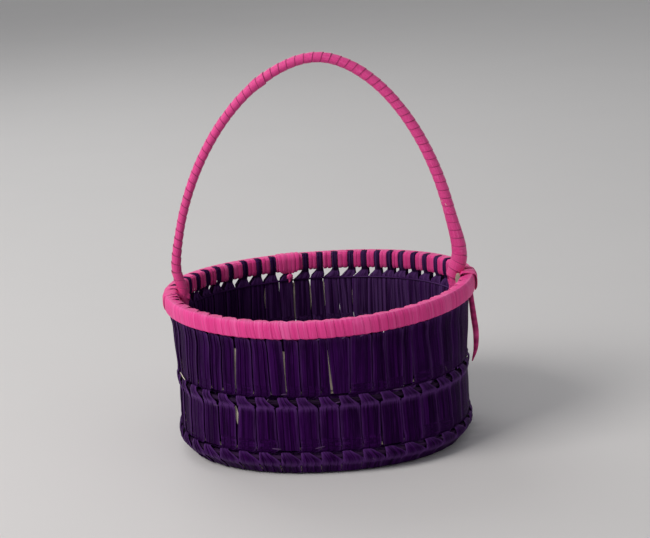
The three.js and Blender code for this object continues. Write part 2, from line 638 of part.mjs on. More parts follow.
// A broad strip over the back of the rim where the binding was joined, with its knot below
function addRimPatch() {
  const share = PATCH_STITCH / UPPER_STITCHES;
  const top = RIM_TOP + SEAT;
  const bottom = RIM_BOTTOM - SEAT;
  const knotWidth = 4;
  addPiece('rim_patch', leafStrip([
    station(share, BINDING_PASS, top, 0, 1, PATCH_WIDTH),
    station(share, LEG_FACE, top, -1, 1, PATCH_WIDTH),
    station(share, LEG_FACE, bottom + LEAF, -1, 0, PATCH_WIDTH),
    station(share, LEG_FACE, bottom - LEAF, -1, 0, knotWidth, LEAF),
    station(share, LEG_FACE, bottom - KNOT_DROP * 0.6, -1, 0, knotWidth, 2 * LEAF),
    station(share, LEG_FACE, bottom - KNOT_DROP, -1, 0, knotWidth / 3, LEAF),
  ]), LEAF_PINK);
}

sewnStrips('upper_strip', UPPER_STRIPS, UPPER_STITCHES, upperStitch, LEAF_PURPLE);
sewnStrips('lower_strip', LOWER_STRIPS, LOWER_STITCHES, lowerStitch, LEAF_PURPLE);
sewnStrips('base_strip', BASE_STRIPS, LOWER_STITCHES, baseStitch, LEAF_PURPLE, flatStrip);
sewnStrips('rim_binding', BINDING_STRIPS, UPPER_STITCHES * TURNS_PER_STITCH, bindingTurn, LEAF_PINK);
addHoops();
addFloorCentre();
addStakes();
addHandle();
addLashings();
addRimPatch();

for (const [family, gap] of Object.entries(leastGaps)) {
  console.log(`${family}: least gap between turns ${gap.toFixed(2)} mm`);
}

export default group;
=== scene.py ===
"""Oval palm-leaf basket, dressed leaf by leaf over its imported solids.

Every piece is a closed leaf, rod or splint that lies where its solid lies, apart from the small
leaf ends, which stand for no solid. The basket's lengths are millimetres, and a mesh is turned
into metres when it is made. The sizes that a user may change, the lamps and the camera are metres.
"""

import json
import math

import bpy
import numpy as np
from mathutils import Matrix, Vector

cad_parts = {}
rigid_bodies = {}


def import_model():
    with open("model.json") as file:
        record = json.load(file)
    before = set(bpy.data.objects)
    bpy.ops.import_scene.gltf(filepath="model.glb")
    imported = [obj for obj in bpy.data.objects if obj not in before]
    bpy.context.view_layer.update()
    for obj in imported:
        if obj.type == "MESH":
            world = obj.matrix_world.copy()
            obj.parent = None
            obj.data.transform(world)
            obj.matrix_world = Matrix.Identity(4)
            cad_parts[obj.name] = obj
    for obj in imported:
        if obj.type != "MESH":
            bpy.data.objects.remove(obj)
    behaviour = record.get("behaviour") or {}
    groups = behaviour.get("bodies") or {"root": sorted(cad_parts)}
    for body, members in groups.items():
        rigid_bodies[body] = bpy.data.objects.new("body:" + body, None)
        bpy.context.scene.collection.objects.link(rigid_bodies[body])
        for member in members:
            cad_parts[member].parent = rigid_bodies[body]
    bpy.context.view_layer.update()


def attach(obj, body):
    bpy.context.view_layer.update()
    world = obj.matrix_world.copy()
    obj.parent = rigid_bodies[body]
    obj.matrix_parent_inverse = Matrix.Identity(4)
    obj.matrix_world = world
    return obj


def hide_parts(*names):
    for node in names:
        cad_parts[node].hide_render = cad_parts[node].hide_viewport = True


bl_info = {
    "name": "Palm Leaf Basket",
    "version": (1, 0, 0),
    "blender": (4, 5, 0),
    "location": "3D Viewport > Sidebar > Basket",
    "description": "Builds an oval palm-leaf basket with a bound rim and handle over its solids",
    "category": "Object",
}

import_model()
MM = 0.001

# Sizes and places of the solids, in millimetres; fullness is a share
RIM_LENGTH = 186.0
RIM_DEPTH = 154.0
LEVEL_HEIGHTS = (3.05, 9.1, 46.4, 80.4, 89.0)
LEVEL_HALF_LENGTHS = (85.4, 89.4, 88.6, 90.7, 93.0)
LEVEL_HALF_DEPTHS = (69.4, 72.2, 71.5, 74.7, 77.0)
LEVEL_FULLNESS = (0.03, 0.055, 0.045, 0.0, 0.0)
RIM_TOP = 100.2
RIM_BOTTOM = 89.0
SHOULDER_Z = 80.4
RIM_LIFT = 1.5
RIM_TILT = 1.6
FOOT_HOOP_Z = 3.05
MID_HOOP_Z = 46.4
BASE_HOOP_Z = 11.6
UPPER_ROD_Z = 52.4
LOWER_ROD_Z = 16.9
HOOP_OUT = 0.9
HOOP_ROD = 1.6
HIDDEN_ROD = 1.2
FOOT_ROD = 1.9
STRAND = 1.2
RING_HALF_LENGTH = 36.0
RING_HALF_DEPTH = 18.0
RING_ROD = 0.9
RING_Z = 2.05
COIL_Z = 1.75
SOLE_Z = 0.93
NECK_LEAN = 2.2
UPPER_NECK = 3.7
LEG = 1.65
SEAT = 0.45
STITCH_PASS = 0.55
FOLD_DROP = 2.1
RIM_INSIDE = -4.15
RIM_OUTSIDE = 3.65
LEG_FACE = -5.3
HANDLE_THIN = 5.4
HANDLE_THICK = 8.2
TIP_LENGTH = 40.0

# Directions
UP = np.array([0.0, 0.0, 1.0])
BACK = np.array([0.0, 1.0, 0.0])

# Counts of stitches, strips and turns
UPPER_STITCHES = 52
LOWER_STITCHES = 42
UPPER_STRIPS = 13
LOWER_STRIPS = 10
BASE_STRIPS = 10
BINDING_STRIPS = 5
HANDLE_WRAPS = 3
TURNS_PER_WRAP = 24

# Numbers of stitches and turns, counted from the right end of the rim round the back
LAST_WIDE_NECK = 8
LAST_BACK_STITCH = 26
FIRST_HIDDEN_NECK = 28
LAST_SLOPING_TOP = 33
STAKE_GAPS = (14, 33, 36, 38.7)
PATCH_STITCH = 15
SHINGLE_FROM_TURN = 58
SHINGLE_FULL_TURN = 84

# A hidden rod's splint has this share of its solid's thickness
HIDDEN_SHARE = 0.8

# Thickness of the leaf that isn't the wall's
BASE_LEAF = 0.5
BINDING_LEAF = 0.42
LASHING_LEAF = 0.45

# The handle's arch
HANDLE_TOP = 244.6
HANDLE_SPRING_Z = 102.2
HANDLE_MIDDLE = 6.9
HANDLE_LEAN = -2.3
LEFT_REACH = RIM_LENGTH / 2 + 2.5
LEFT_ARCH_POWER = 1.78
RIGHT_REACH = RIM_LENGTH / 2 - 11.8
RIGHT_ARCH_POWER = 1.86
LEG_LEAN = 1.6
LEG_LEAN_HEIGHT = 18.0
LEFT_FOOT_OUT = 0.3
RIGHT_FOOT_OUT = 1.6
LEFT_FOOT_X = -(RIM_LENGTH / 2 + LEG_FACE - HANDLE_THIN / 2) - LEFT_FOOT_OUT
RIGHT_FOOT_X = RIM_LENGTH / 2 + LEG_FACE - HANDLE_THICK / 2 + RIGHT_FOOT_OUT

# The camera. The picture's width and the focal length are pixels, the sensor is millimetres,
# angles are degrees, and the distance and the point that it looks at are metres.
PICTURE_WIDTH = 650.0
FOCAL_LENGTH = 1760.0
SENSOR_WIDTH = 36.0
CAMERA_ABOVE = 15.5
CAMERA_ROLL = -3.0
CAMERA_AWAY = 1.1
CAMERA_AIM = (0.0043, 0.0, 0.108)


def length_property(name, description, default, smallest, largest):
    return bpy.props.FloatProperty(
        name=name,
        description=description,
        default=default,
        min=smallest,
        max=largest,
        subtype="DISTANCE",
        unit="LENGTH",
        precision=5,
    )


class BasketSizes(bpy.types.PropertyGroup):
    """Sizes of the leaf that a user may change"""

    leaf_thickness: length_property(
        "Leaf Thickness", "Thickness of the wall's leaf strips", 0.00045, 0.0002, 0.0007
    )
    slit: length_property(
        "Slit", "Open slit between neighbouring stitches of the wall", 0.0003, 0.0001, 0.001
    )
    wander: length_property(
        "Edge Wander",
        "How far the edge between two stitches strays from an even spacing",
        0.0011,
        0.0,
        0.0015,
    )
    crown: length_property(
        "Crown", "How far the middle of a leaf strip stands out from its edges", 0.0003, 0.0, 0.0008
    )
    pleat: length_property(
        "Pleat", "How far a pleat of a broad leaf stands over the next one", 0.00024, 0.0, 0.0006
    )
    shingle: length_property(
        "Shingle", "How far one edge of a binding turn stands over its neighbour", 0.00018, 0.0, 0.0005
    )
    relief: length_property("Grain Relief", "Depth of the leaf's lengthwise grain", 0.00022, 0.0, 0.0006)


def colour_property(name, description, default):
    return bpy.props.FloatVectorProperty(
        name=name,
        description=description,
        default=default,
        min=0.0,
        max=1.0,
        size=3,
        subtype="COLOR",
    )


class BasketColours(bpy.types.PropertyGroup):
    """Colours that a user may change"""

    purple: colour_property("Purple Leaf", "Dyed leaf of the wall", (0.025, 0.0010, 0.049))
    purple_deep: colour_property("Deep Purple", "Dark streaks of the wall's leaf", (0.0060, 0.0004, 0.0120))
    # The pale purple is also the colour of painted highlights and of the painted sheen on inner faces
    purple_pale: colour_property("Pale Purple", "Worn edges of the wall's leaf", (0.052, 0.006, 0.098))
    pink: colour_property("Pink Leaf", "Dyed leaf of the rim and the handle", (0.88, 0.062, 0.31))
    pink_deep: colour_property("Deep Pink", "Dark streaks of the pink leaf", (0.62, 0.030, 0.20))
    # The pale pink is also the colour of painted highlights and of the painted sheen on inner faces
    pink_pale: colour_property("Pale Pink", "Worn edges of the pink leaf", (0.98, 0.22, 0.52))
    # The hoops' dye is very dark, so that it also stands as painted shade in the gaps round the hoops
    hoop: colour_property("Hoop", "Dyed splint of the wall's hoops", (0.017, 0.006, 0.024))
    natural: colour_property("Natural Leaf", "Undyed splints", (0.66, 0.57, 0.44))
    floor: colour_property("Floor", "Floor under the basket", (0.72, 0.71, 0.70))


# Places


def unit(vectors):
    lengths = np.linalg.norm(vectors, axis=-1, keepdims=True)
    return vectors / np.maximum(lengths, 1e-12)


def lengths_along(points):
    return np.concatenate([[0.0], np.cumsum(np.linalg.norm(np.diff(points, axis=0), axis=1))])


def grain_places(girth, along, seed):
    """Places in the grain: round or across the leaf, along it, and the leaf's own number"""
    return np.stack(np.broadcast_arrays(girth, along[:, None], seed), -1)


def arc_table():
    """Angles of the rim's oval and the length of its edge up to each"""
    angles = np.linspace(0, 2 * math.pi, 721)
    middles = (angles[1:] + angles[:-1]) / 2
    speeds = np.hypot(RIM_LENGTH * np.sin(middles), RIM_DEPTH * np.cos(middles)) / 2
    return angles, np.concatenate([[0.0], np.cumsum(speeds * np.diff(angles))])


ARC_ANGLES, ARC_LENGTHS = arc_table()
RIM_AROUND = float(ARC_LENGTHS[-1])
UPPER_PITCH = RIM_AROUND / UPPER_STITCHES
LOWER_PITCH = RIM_AROUND / LOWER_STITCHES


def oval_place(way, half_length, half_depth, outward, z, fullness=0.0):
    """A point on an oval; way is counted in millimetres round the rim from +X towards +Y"""
    turns = np.floor(way / RIM_AROUND)
    angle = np.interp(way - turns * RIM_AROUND, ARC_LENGTHS, ARC_ANGLES)
    cosine, sine = np.cos(angle), np.sin(angle)
    swell = 1 + fullness * np.sin(2 * angle) ** 2
    growth = 2 * fullness * np.sin(4 * angle)
    zero = np.zeros_like(angle + z)
    across = half_depth * (cosine * swell + sine * growth) + zero
    along = half_length * (sine * swell - cosine * growth) + zero
    normal = unit(np.stack([across, along, zero], -1))
    lift = RIM_LIFT * np.cos(2 * angle) + RIM_TILT * cosine
    rise = z + lift * (np.maximum(z - FOOT_HOOP_Z, 0) / RIM_TOP) ** 2
    at = [half_length * cosine * swell + zero, half_depth * sine * swell + zero, rise + zero]
    return np.stack(at, -1) + normal * np.asarray(outward)[..., None]


def wall_place(way, outward, z):
    levels = (LEVEL_HALF_LENGTHS, LEVEL_HALF_DEPTHS, LEVEL_FULLNESS)
    half_length, half_depth, fullness = (np.interp(z, LEVEL_HEIGHTS, row) for row in levels)
    return oval_place(way, half_length, half_depth, outward, z, fullness)


def wall_axes(way):
    """Outward and sideways directions of the rim's oval"""
    ahead = oval_place(way + 0.5, RIM_LENGTH / 2, RIM_DEPTH / 2, 0.0, FOOT_HOOP_Z)
    behind = oval_place(way - 0.5, RIM_LENGTH / 2, RIM_DEPTH / 2, 0.0, FOOT_HOOP_Z)
    side = unit(ahead - behind)
    return np.array([side[1], -side[0], 0.0]), side


def chance(*keys):
    """An even random number from 0 to 1 that depends only on the keys"""
    return float(np.random.default_rng([5381, *[int(round(4 * key)) for key in keys]]).random())


def stray(*keys):
    return 2 * chance(*keys) - 1


# Leaf strips

# Columns of a strip's rows
LEFT = slice(0, 3)
RIGHT = slice(3, 6)
CROWN, TILT, FOLD_A, FOLD_B, PLEAT, TONE, SEED = range(6, 13)
ROW_LENGTH = 13


def smooth_rows(rows, step):
    """Rows along a smooth curve through the given rows, about one step apart"""
    rows = np.asarray(rows, float)
    middles = (rows[:, LEFT] + rows[:, RIGHT]) / 2
    gaps = np.linalg.norm(np.diff(middles, axis=0), axis=1)
    knots = np.concatenate([[0.0], np.cumsum(np.sqrt(np.maximum(gaps, 1e-3)))])
    spans = np.diff(knots)[:, None]
    slopes = np.diff(rows, axis=0) / spans
    tangents = np.empty_like(rows)
    tangents[0], tangents[-1] = slopes[0], slopes[-1]
    tangents[1:-1] = (slopes[:-1] * spans[1:] + slopes[1:] * spans[:-1]) / (spans[1:] + spans[:-1])
    counts = np.maximum(1, np.ceil(gaps / step - 0.2)).astype(int)
    places = [knots[i] + spans[i, 0] * np.arange(n) / n for i, n in enumerate(counts)]
    places = np.concatenate(places + [knots[-1:]])
    part = np.clip(np.searchsorted(knots, places, side="right") - 1, 0, len(gaps) - 1)
    span = spans[part]
    t = (places - knots[part])[:, None] / span
    return (
        (2 * t**3 - 3 * t**2 + 1) * rows[part]
        + (t**3 - 2 * t**2 + t) * span * tangents[part]
        + (3 * t**2 - 2 * t**3) * rows[part + 1]
        + (t**3 - t**2) * span * tangents[part + 1]
    )


class MeshParts:
    """Gathers closed bodies with their grain attributes into one mesh"""

    def __init__(self):
        self.points, self.faces, self.places, self.tones = [], [], [], []
        self.total = 0

    def loft(self, rings, places, tones, joined=False):
        """A closed body from rings of points (steps, corners, 3), capped or joined into a hoop"""
        steps, corners = rings.shape[:2]
        step = np.arange(steps if joined else steps - 1)
        here = step[:, None] * corners
        ahead = ((step + 1) % steps)[:, None] * corners
        k = np.arange(corners)[None, :]
        m = (k + 1) % corners
        quads = np.stack([here + k, here + m, ahead + m, ahead + k], -1).reshape(-1, 4)
        points = rings.reshape(-1, 3)
        a, b, c, d = (points[quads[:, i]] for i in range(4))
        volume = np.einsum("ij,ij->i", a, np.cross(b, c) + np.cross(c, d)).sum()
        faces = [tuple(int(v) for v in quad) for quad in quads]
        if not joined:
            first = list(range(corners))
            faces += [tuple(reversed(first)), tuple(v + (steps - 1) * corners for v in first)]
        if volume < 0:
            faces = [tuple(reversed(face)) for face in faces]
        self.faces += [tuple(v + self.total for v in face) for face in faces]
        self.points.append(points)
        self.places.append(np.asarray(places, float).reshape(-1, 3))
        self.tones.append(np.asarray(tones, float).reshape(-1))
        self.total += len(points)

    def leaf(self, rows, thickness, facing=1, step=3.0, edge_tone=0.5, fine=False):
        """A leaf strip through rows of edge points; its outer face is crowned and its edges are thin"""
        path = smooth_rows(rows, step)
        left, right = path[:, LEFT], path[:, RIGHT]
        middle = (left + right) / 2
        run = unit(np.gradient(middle, axis=0))
        side = unit(right - left)
        out = unit(np.cross(side, run)) * facing
        u, skin, saw, fold = self.pleated(path) if fine else self.plain(path)
        height = (
            thickness * skin
            + path[:, CROWN, None] * (1 - u**2)
            + path[:, TILT, None] * u
            + path[:, PLEAT, None] * saw
        )
        half = (right - left)[:, None, :] / 2
        rings = middle[:, None, :] + half * u[..., None] + out[:, None, :] * height[..., None]
        widths = np.linalg.norm(right - left, axis=1)
        along = lengths_along(middle)
        seeds = path[:, SEED, None] + 5.0 * fold
        places = grain_places(u * widths[:, None] / 2, along, seeds)
        # Edge tone: above 0 the edges are lighter, from rubbing and painted highlights; below 0 they get
        # painted shade as seams between turns
        edge = np.where(np.abs(u) > 0.88, edge_tone, 0.0)
        tones = np.clip(path[:, TONE, None] + edge, -1, 1)
        self.loft(rings, places, tones)

    @staticmethod
    def pleated(path):
        """Section of a broad leaf with two creases: places across, skin, pleat height and pleat number"""
        first, second = path[:, FOLD_A], path[:, FOLD_B]
        rim, near = 0.94 + 0 * first, 0.045
        inner = [0.86, 0.3, -0.3, -0.86]
        outer = [-rim / 0.94, -rim, (first - rim) / 2, first - near, first, first + near]
        outer += [(first + second) / 2, second - near, second, second + near]
        outer += [(second + rim) / 2, rim, rim / 0.94]
        u = np.stack(outer + [value + 0 * first for value in inner], -1)
        skin = np.array([0.45] + [1.0] * 11 + [0.45] + [0.0] * 4)[None, :]
        saw = np.array([0, 0, 0.5, 1, -0.6, 0, 0.5, 1, -0.6, 0, 0.5, 0.9, 0.9] + [0.0] * 4)[None, :]
        fold = np.array([0, 0, 0, 0, 0.5, 1, 1, 1, 1.5, 2, 2, 2, 2] + [0.0] * 4)[None, :]
        return u, skin, saw, fold

    @staticmethod
    def plain(path):
        """Section of a narrow leaf without creases"""
        across = np.array([-1, -0.92, -0.8, 0.0, 0.8, 0.92, 1, 0.84, 0.0, -0.84])
        skin = np.array([0.45, 1, 1, 1, 1, 1, 0.45, 0, 0, 0])[None, :]
        u = across[None, :] + np.zeros((len(path), 1))
        return u, skin, np.zeros_like(skin), np.zeros_like(skin)

    def rod(self, centre, across, up, half_across, half_up, sides, seed, joined):
        """A rod of round or flattened section along centre points"""
        angles = np.arange(sides) / sides * 2 * math.pi
        cosine, sine = np.cos(angles)[None, :, None], np.sin(angles)[None, :, None]
        half_across = np.broadcast_to(half_across, len(centre))[:, None, None]
        half_up = np.broadcast_to(half_up, len(centre))[:, None, None]
        across, up = (np.broadcast_to(axis, centre.shape)[:, None] for axis in (across, up))
        rings = centre[:, None] + across * half_across * cosine + up * half_up * sine
        along = lengths_along(centre)
        girth = angles[None, :] * float(half_across.mean() + half_up.mean()) / 2
        places = grain_places(girth, along, seed)
        self.loft(rings, places, np.zeros(rings.shape[:2]), joined)

    def build(self, context, name, slot, *nodes, look=None):
        """Makes the object; it rides on the basket's one body and stands for its CAD nodes"""
        mesh = bpy.data.meshes.new(name)
        points = np.concatenate(self.points) * MM
        mesh.from_pydata([tuple(point) for point in points], [], self.faces)
        place = mesh.attributes.new("leaf_place", "FLOAT_VECTOR", "POINT")
        place.data.foreach_set("vector", np.concatenate(self.places).astype(np.float32).ravel())
        tone = mesh.attributes.new("leaf_tone", "FLOAT", "POINT")
        tone.data.foreach_set("value", np.concatenate(self.tones).astype(np.float32))
        mesh.validate()
        mesh.update()
        if not mesh.polygons:
            raise RuntimeError(f"{name} has no faces")
        mesh.shade_smooth()
        mesh.set_sharp_from_angle(angle=math.radians(38))
        piece = bpy.data.objects.new(name, mesh)
        context.scene.collection.objects.link(piece)
        mesh.materials.append(finishes(context)[look or slot])
        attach(piece, "root")
        if nodes:
            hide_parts(*nodes)


def wall_row(left, right, outward, z, leaf, tone=0.0, tilt=None):
    """A row of a strip on the wall, from the ways of its two edges"""
    return edge_row(wall_place(left, outward, z), wall_place(right, outward, z), leaf, tone, tilt)


def edge_row(left, right, leaf, tone=0.0, tilt=None):
    """A row of a strip from the points of its two edges"""
    crown, leaf_tilt, first, second, pleat, seed = leaf
    tilt = leaf_tilt if tilt is None else tilt
    return [*left, *right, crown, tilt, first, second, pleat, tone, seed]


def flat_nature(crown, tilt, seed):
    """A leaf without creases"""
    return (crown, tilt, -0.33, 0.33, 0.0, seed)


def leaf_nature(sizes, tilt, *keys):
    """Crown, tilt, creases, pleat height and seed of one stitch"""
    crown = sizes.crown / MM * (0.5 + chance(1, *keys))
    lean = tilt * (0.6 + 0.8 * chance(3, *keys))
    first, second = -0.62 + 0.5 * chance(4, *keys), 0.12 + 0.5 * chance(5, *keys)
    pleat = sizes.pleat / MM * (0.4 + 1.2 * chance(6, *keys))
    return (crown, lean, first, second, pleat, 90 * chance(7, *keys))


# Finishes


def wire(tree, kind, values=None, **settings):
    """Adds a node; values are socket defaults or sockets to link from"""
    made = tree.nodes.new(kind)
    for key, value in settings.items():
        setattr(made, key, value)
    for key, value in (values or {}).items():
        if isinstance(value, bpy.types.NodeSocket):
            tree.links.new(value, made.inputs[key])
        else:
            made.inputs[key].default_value = value
    return made


def mixed(tree, share, first, second):
    """Colour between two colours"""
    made = tree.nodes.new("ShaderNodeMix")
    made.data_type = "RGBA"
    for index, value in ((0, share), (6, first), (7, second)):
        if isinstance(value, bpy.types.NodeSocket):
            tree.links.new(value, made.inputs[index])
        else:
            made.inputs[index].default_value = value if index == 0 else (*value[:3], 1)
    return made.outputs[2]


def ranged(tree, value, low, high, to_low, to_high):
    values = {"Value": value, "From Min": low, "From Max": high, "To Min": to_low, "To Max": to_high}
    return wire(tree, "ShaderNodeMapRange", values).outputs["Result"]


def summed(tree, first, second, share):
    """first plus share times second"""
    values = {0: second, 1: share, 2: first}
    return wire(tree, "ShaderNodeMath", values, operation="MULTIPLY_ADD").outputs[0]


def maths(tree, operation, first, second=None):
    """Number from one or two numbers"""
    values = {0: first} if second is None else {0: first, 1: second}
    return wire(tree, "ShaderNodeMath", values, operation=operation).outputs[0]


def vector_maths(tree, operation, first, second=None, output=0):
    """Vector or number from one or two vectors"""
    values = {0: first} if second is None else {0: first, 1: second}
    return wire(tree, "ShaderNodeVectorMath", values, operation=operation).outputs[output]


# sheen is how strongly the inner faces get the painted sheen
def leaf_finish(name, base, deep, pale, relief, rough, gloss, tint, depth=1.0, sheen=0.0):
    """Dyed or plain leaf: fibres, streaks, cloudy dye, edges lighter from rubbing and painted highlights,
    painted shade in the creases and where the tone is below 0, and a painted sheen on the inner side
    """
    found = bpy.data.materials.get(name)
    if found:
        return found
    material = bpy.data.materials.new(name)
    material.use_nodes = True
    tree = material.node_tree
    tree.nodes.clear()
    place = wire(tree, "ShaderNodeAttribute", attribute_name="leaf_place").outputs["Vector"]
    tone = wire(tree, "ShaderNodeAttribute", attribute_name="leaf_tone").outputs["Fac"]

    def grain(across, along, seed, detail, roughness):
        spread = vector_maths(tree, "MULTIPLY", place, (across, along, seed))
        values = {"Vector": spread, "Scale": 1.0, "Detail": detail, "Roughness": roughness}
        return wire(tree, "ShaderNodeTexNoise", values, noise_dimensions="3D").outputs["Fac"]

    fibre = grain(2.6, 0.05, 3.1, 3.0, 0.6)
    streak = grain(0.62, 0.018, 5.3, 2.5, 0.55)
    glint = grain(0.95, 0.014, 9.7, 1.0, 0.5)
    cloud = grain(0.16, 0.09, 7.9, 3.0, 0.6)
    stitch = grain(0.0, 0.0, 1.7, 0.0, 0.5)
    # Crease lines: a groove in the bump and a darker line, painted shade in the crease
    crease = grain(0.9, 0.012, 11.3, 1.0, 0.4)
    off = maths(tree, "ABSOLUTE", maths(tree, "SUBTRACT", crease, 0.5))
    line = ranged(tree, off, 0.0, 0.022, 1.0, 0.0)

    layers = (
        (streak, 0.40, 0.62, 0.9, deep),
        (glint, 0.54, 0.70, 0.55, pale),
        (fibre, 0.50, 0.78, 0.55, pale),
        (cloud, 0.52, 0.80, 0.6, deep),
        (stitch, 0.44, 0.30, 0.55, deep),
        (stitch, 0.54, 0.70, 0.45, pale),
        (line, 0.0, 1.0, 0.5, deep),
    )
    colour = base
    for pattern, low, high, most, other in layers:
        colour = mixed(tree, ranged(tree, pattern, low, high, 0.0, most * depth), colour, other)
    # Lighter towards the rubbing colour by the tone: partly rubbing, partly painted highlights. A tone
    # below 0 darkens towards the shade colour, painted shade
    rubbing_and_highlight = summed(tree, tone, ranged(tree, fibre, 0.35, 0.65, -0.5, 0.5), 0.5)
    rubbing_and_highlight_colour = [min(1.0, c * (1.45 - 0.3 * c) + 0.022 * depth) for c in pale]
    # Paler colour of the painted sheen on the inner faces
    inside = [c + 0.035 + 0.25 * c for c in pale]
    shade = [0.3 * c for c in deep]
    colour = mixed(tree, ranged(tree, rubbing_and_highlight, 0.15, 0.95, 0.0, 0.9 * depth), colour, rubbing_and_highlight_colour)
    colour = mixed(tree, ranged(tree, tone, 0.0, -1.0, 0.0, 0.9), colour, shade)

    # Painted sheen: inner faces are mixed towards a paler colour, more towards +X and where the streaks are
    # low, standing for light that gleams inside the basket
    spot = wire(tree, "ShaderNodeTexCoord")
    level = vector_maths(tree, "MULTIPLY", spot.outputs["Object"], (-1, -1, 0))
    inward = vector_maths(tree, "NORMALIZE", level)
    facing = vector_maths(tree, "DOT_PRODUCT", inward, spot.outputs["Normal"], "Value")
    inner = ranged(tree, facing, 0.3, 0.8, 0.0, 1.0)
    split = wire(tree, "ShaderNodeSeparateXYZ", {0: spot.outputs["Object"]})
    painted_sheen_side = ranged(tree, split.outputs["X"], -0.05, 0.03, 0.3 * sheen, sheen)
    ridge = ranged(tree, streak, 0.38, 0.58, 1.1, 0.15)
    painted_sheen_share = maths(tree, "MULTIPLY", maths(tree, "MULTIPLY", inner, painted_sheen_side), ridge)
    colour = mixed(tree, painted_sheen_share, colour, inside)

    height = summed(tree, fibre, streak, 0.8)
    height = summed(tree, height, line, -0.7)
    bump = wire(tree, "ShaderNodeBump", {"Strength": 0.6, "Distance": relief, "Height": height})
    shader = wire(
        tree,
        "ShaderNodeBsdfPrincipled",
        {
            "Base Color": colour,
            "Roughness": ranged(tree, fibre, 0.3, 0.7, rough - 0.08, rough + 0.12),
            "Specular IOR Level": gloss,
            "Specular Tint": (*tint, 1),
            "Normal": bump.outputs["Normal"],
        },
    )
    wire(tree, "ShaderNodeOutputMaterial", {"Surface": shader.outputs["BSDF"]})
    return material


def finishes(context):
    """The finishes of the basket, by slot; the handle's leaf has more sheen"""
    colours = context.scene.basket_colours
    relief = context.scene.basket_sizes.relief
    purple = (colours.purple, colours.purple_deep, colours.purple_pale)
    pink = (colours.pink, colours.pink_deep, colours.pink_pale)
    hoop = (colours.hoop, [0.4 * c for c in colours.hoop], [3.2 * c for c in colours.hoop])
    natural = colours.natural
    plain = (natural, [0.55 * c for c in natural], [min(1, 1.5 * c) for c in natural])
    soft = relief * 0.6
    looks = {
        "leaf_purple": (*purple, relief, 0.45, 0.04, (0.65, 0.3, 1.0), 1.0, 0.85),
        "leaf_pink": (*pink, soft, 0.42, 0.15, (1.0, 0.7, 0.85), 0.55),
        "leaf_pink_sheen": (*pink, soft, 0.36, 0.42, (1.0, 0.6, 0.78), 0.6),
        "hoop_purple": (*hoop, relief, 0.6, 0.06, (0.85, 0.75, 1.0)),
        "leaf_natural": (*plain, relief, 0.55, 0.3, (1.0, 0.95, 0.85), 0.7),
    }
    return {name: leaf_finish(f"{name}_grain", *look) for name, look in looks.items()}


def stage_finish(name, colour):
    """Matt pale floor with a faint mottle"""
    material = bpy.data.materials.new(name)
    material.use_nodes = True
    tree = material.node_tree
    tree.nodes.clear()
    place = wire(tree, "ShaderNodeTexCoord").outputs["Object"]
    mottle = wire(tree, "ShaderNodeTexNoise", {"Vector": place, "Scale": 9.0, "Detail": 4.0}).outputs["Fac"]
    tint = mixed(tree, ranged(tree, mottle, 0.3, 0.7, 0.0, 0.06), colour, [0.8 * c for c in colour])
    values = {"Base Color": tint, "Roughness": 0.75, "Specular IOR Level": 0.2}
    shader = wire(tree, "ShaderNodeBsdfPrincipled", values)
    wire(tree, "ShaderNodeOutputMaterial", {"Surface": shader.outputs["BSDF"]})
    return material


# The wall


# Faces of the tiers, as keys of their chances
UPPER_FRONT, UPPER_BACK, LOWER_FRONT, LOWER_BACK = 10, 20, 50, 60


def wander(context, tier, edge, count, height):
    """How far the boundary before stitch number edge strays at a share of the tier's height"""
    amount = context.scene.basket_sizes.wander / MM
    low, high = (amount * stray(tier, end, edge % count) for end in (1, 2))
    if tier == UPPER_FRONT:
        low, high = SET_UPPER.get(edge % count, (low, high))
    return low + (high - low) * height


# Slits that stand open, by the boundary before a stitch: width at the bottom and the top
OPEN_UPPER = {
    11: (0.3, 0.8), 13: (0.3, 1.0), 14: (0.9, 1.1), 15: (0.8, 1.2), 17: (0.3, 0.9), 30: (0.6, 0.3),
    34: (0.05, 0.8), 37: (0.05, 0.9), 40: (1.6, 0.05), 42: (0.3, 0.7), 44: (0.6, 0.2),
    45: (1.3, 0.3),
}
OPEN_LOWER = {27.5: (0.3, 1.6), 31.5: (0.3, 0.7), 34.5: (1.4, 0.3), 6.5: (0.7, 0.4), 11.5: (0.4, 0.6)}

# Boundaries of the front that stray by a set way: at the bottom and the top
SET_UPPER = {
    29: (-1.2, -0.8), 30: (-0.5, -0.6), 31: (0.4, 0.6), 32: (2.4, 1.8), 33: (0.8, 0.4),
    34: (-0.6, 0.3), 35: (0.7, 1.1), 36: (1.2, 0.7), 37: (0.4, 0.6), 38: (-1.0, -0.6),
    39: (0.8, 1.2), 40: (-2.6, -4.2), 41: (-1.6, -1.0), 42: (1.8, 2.2), 43: (0.6, -0.3),
    44: (0.9, 1.4), 45: (-2.8, -2.6), 47: (0.2, 0.3),
}


def band_edges(context, tier, index, count, pitch, height, opened):
    """Ways of the left and right edge of a stitch's broad band at a share of its height"""
    slit = context.scene.basket_sizes.slit / MM
    edges = []
    for edge, way in ((index, 1), (index + 1, -1)):
        low, high = opened.get(edge % count, (slit, slit))
        gap = low + (high - low) * height
        middle = (edge - 0.5) * pitch + NECK_LEAN + wander(context, tier, edge, count, height)
        edges.append(middle + way * gap / 2)
    return edges


def upper_edges(context, tier, index, height):
    return band_edges(context, tier, index, UPPER_STITCHES, UPPER_PITCH, height, OPEN_UPPER)


def lower_edges(context, tier, index, height):
    return band_edges(context, tier, index + 0.5, LOWER_STITCHES, LOWER_PITCH, height, OPEN_LOWER)


def fold_row(context, here, after, z, *keys):
    """The row under a rod that joins the back of a stitch to the front of the next"""
    left, right = ((here[i] + after[i]) / 2 for i in (0, 1))
    return wall_row(left, right, 0.0, z, leaf_nature(context.scene.basket_sizes, 0.0, *keys))


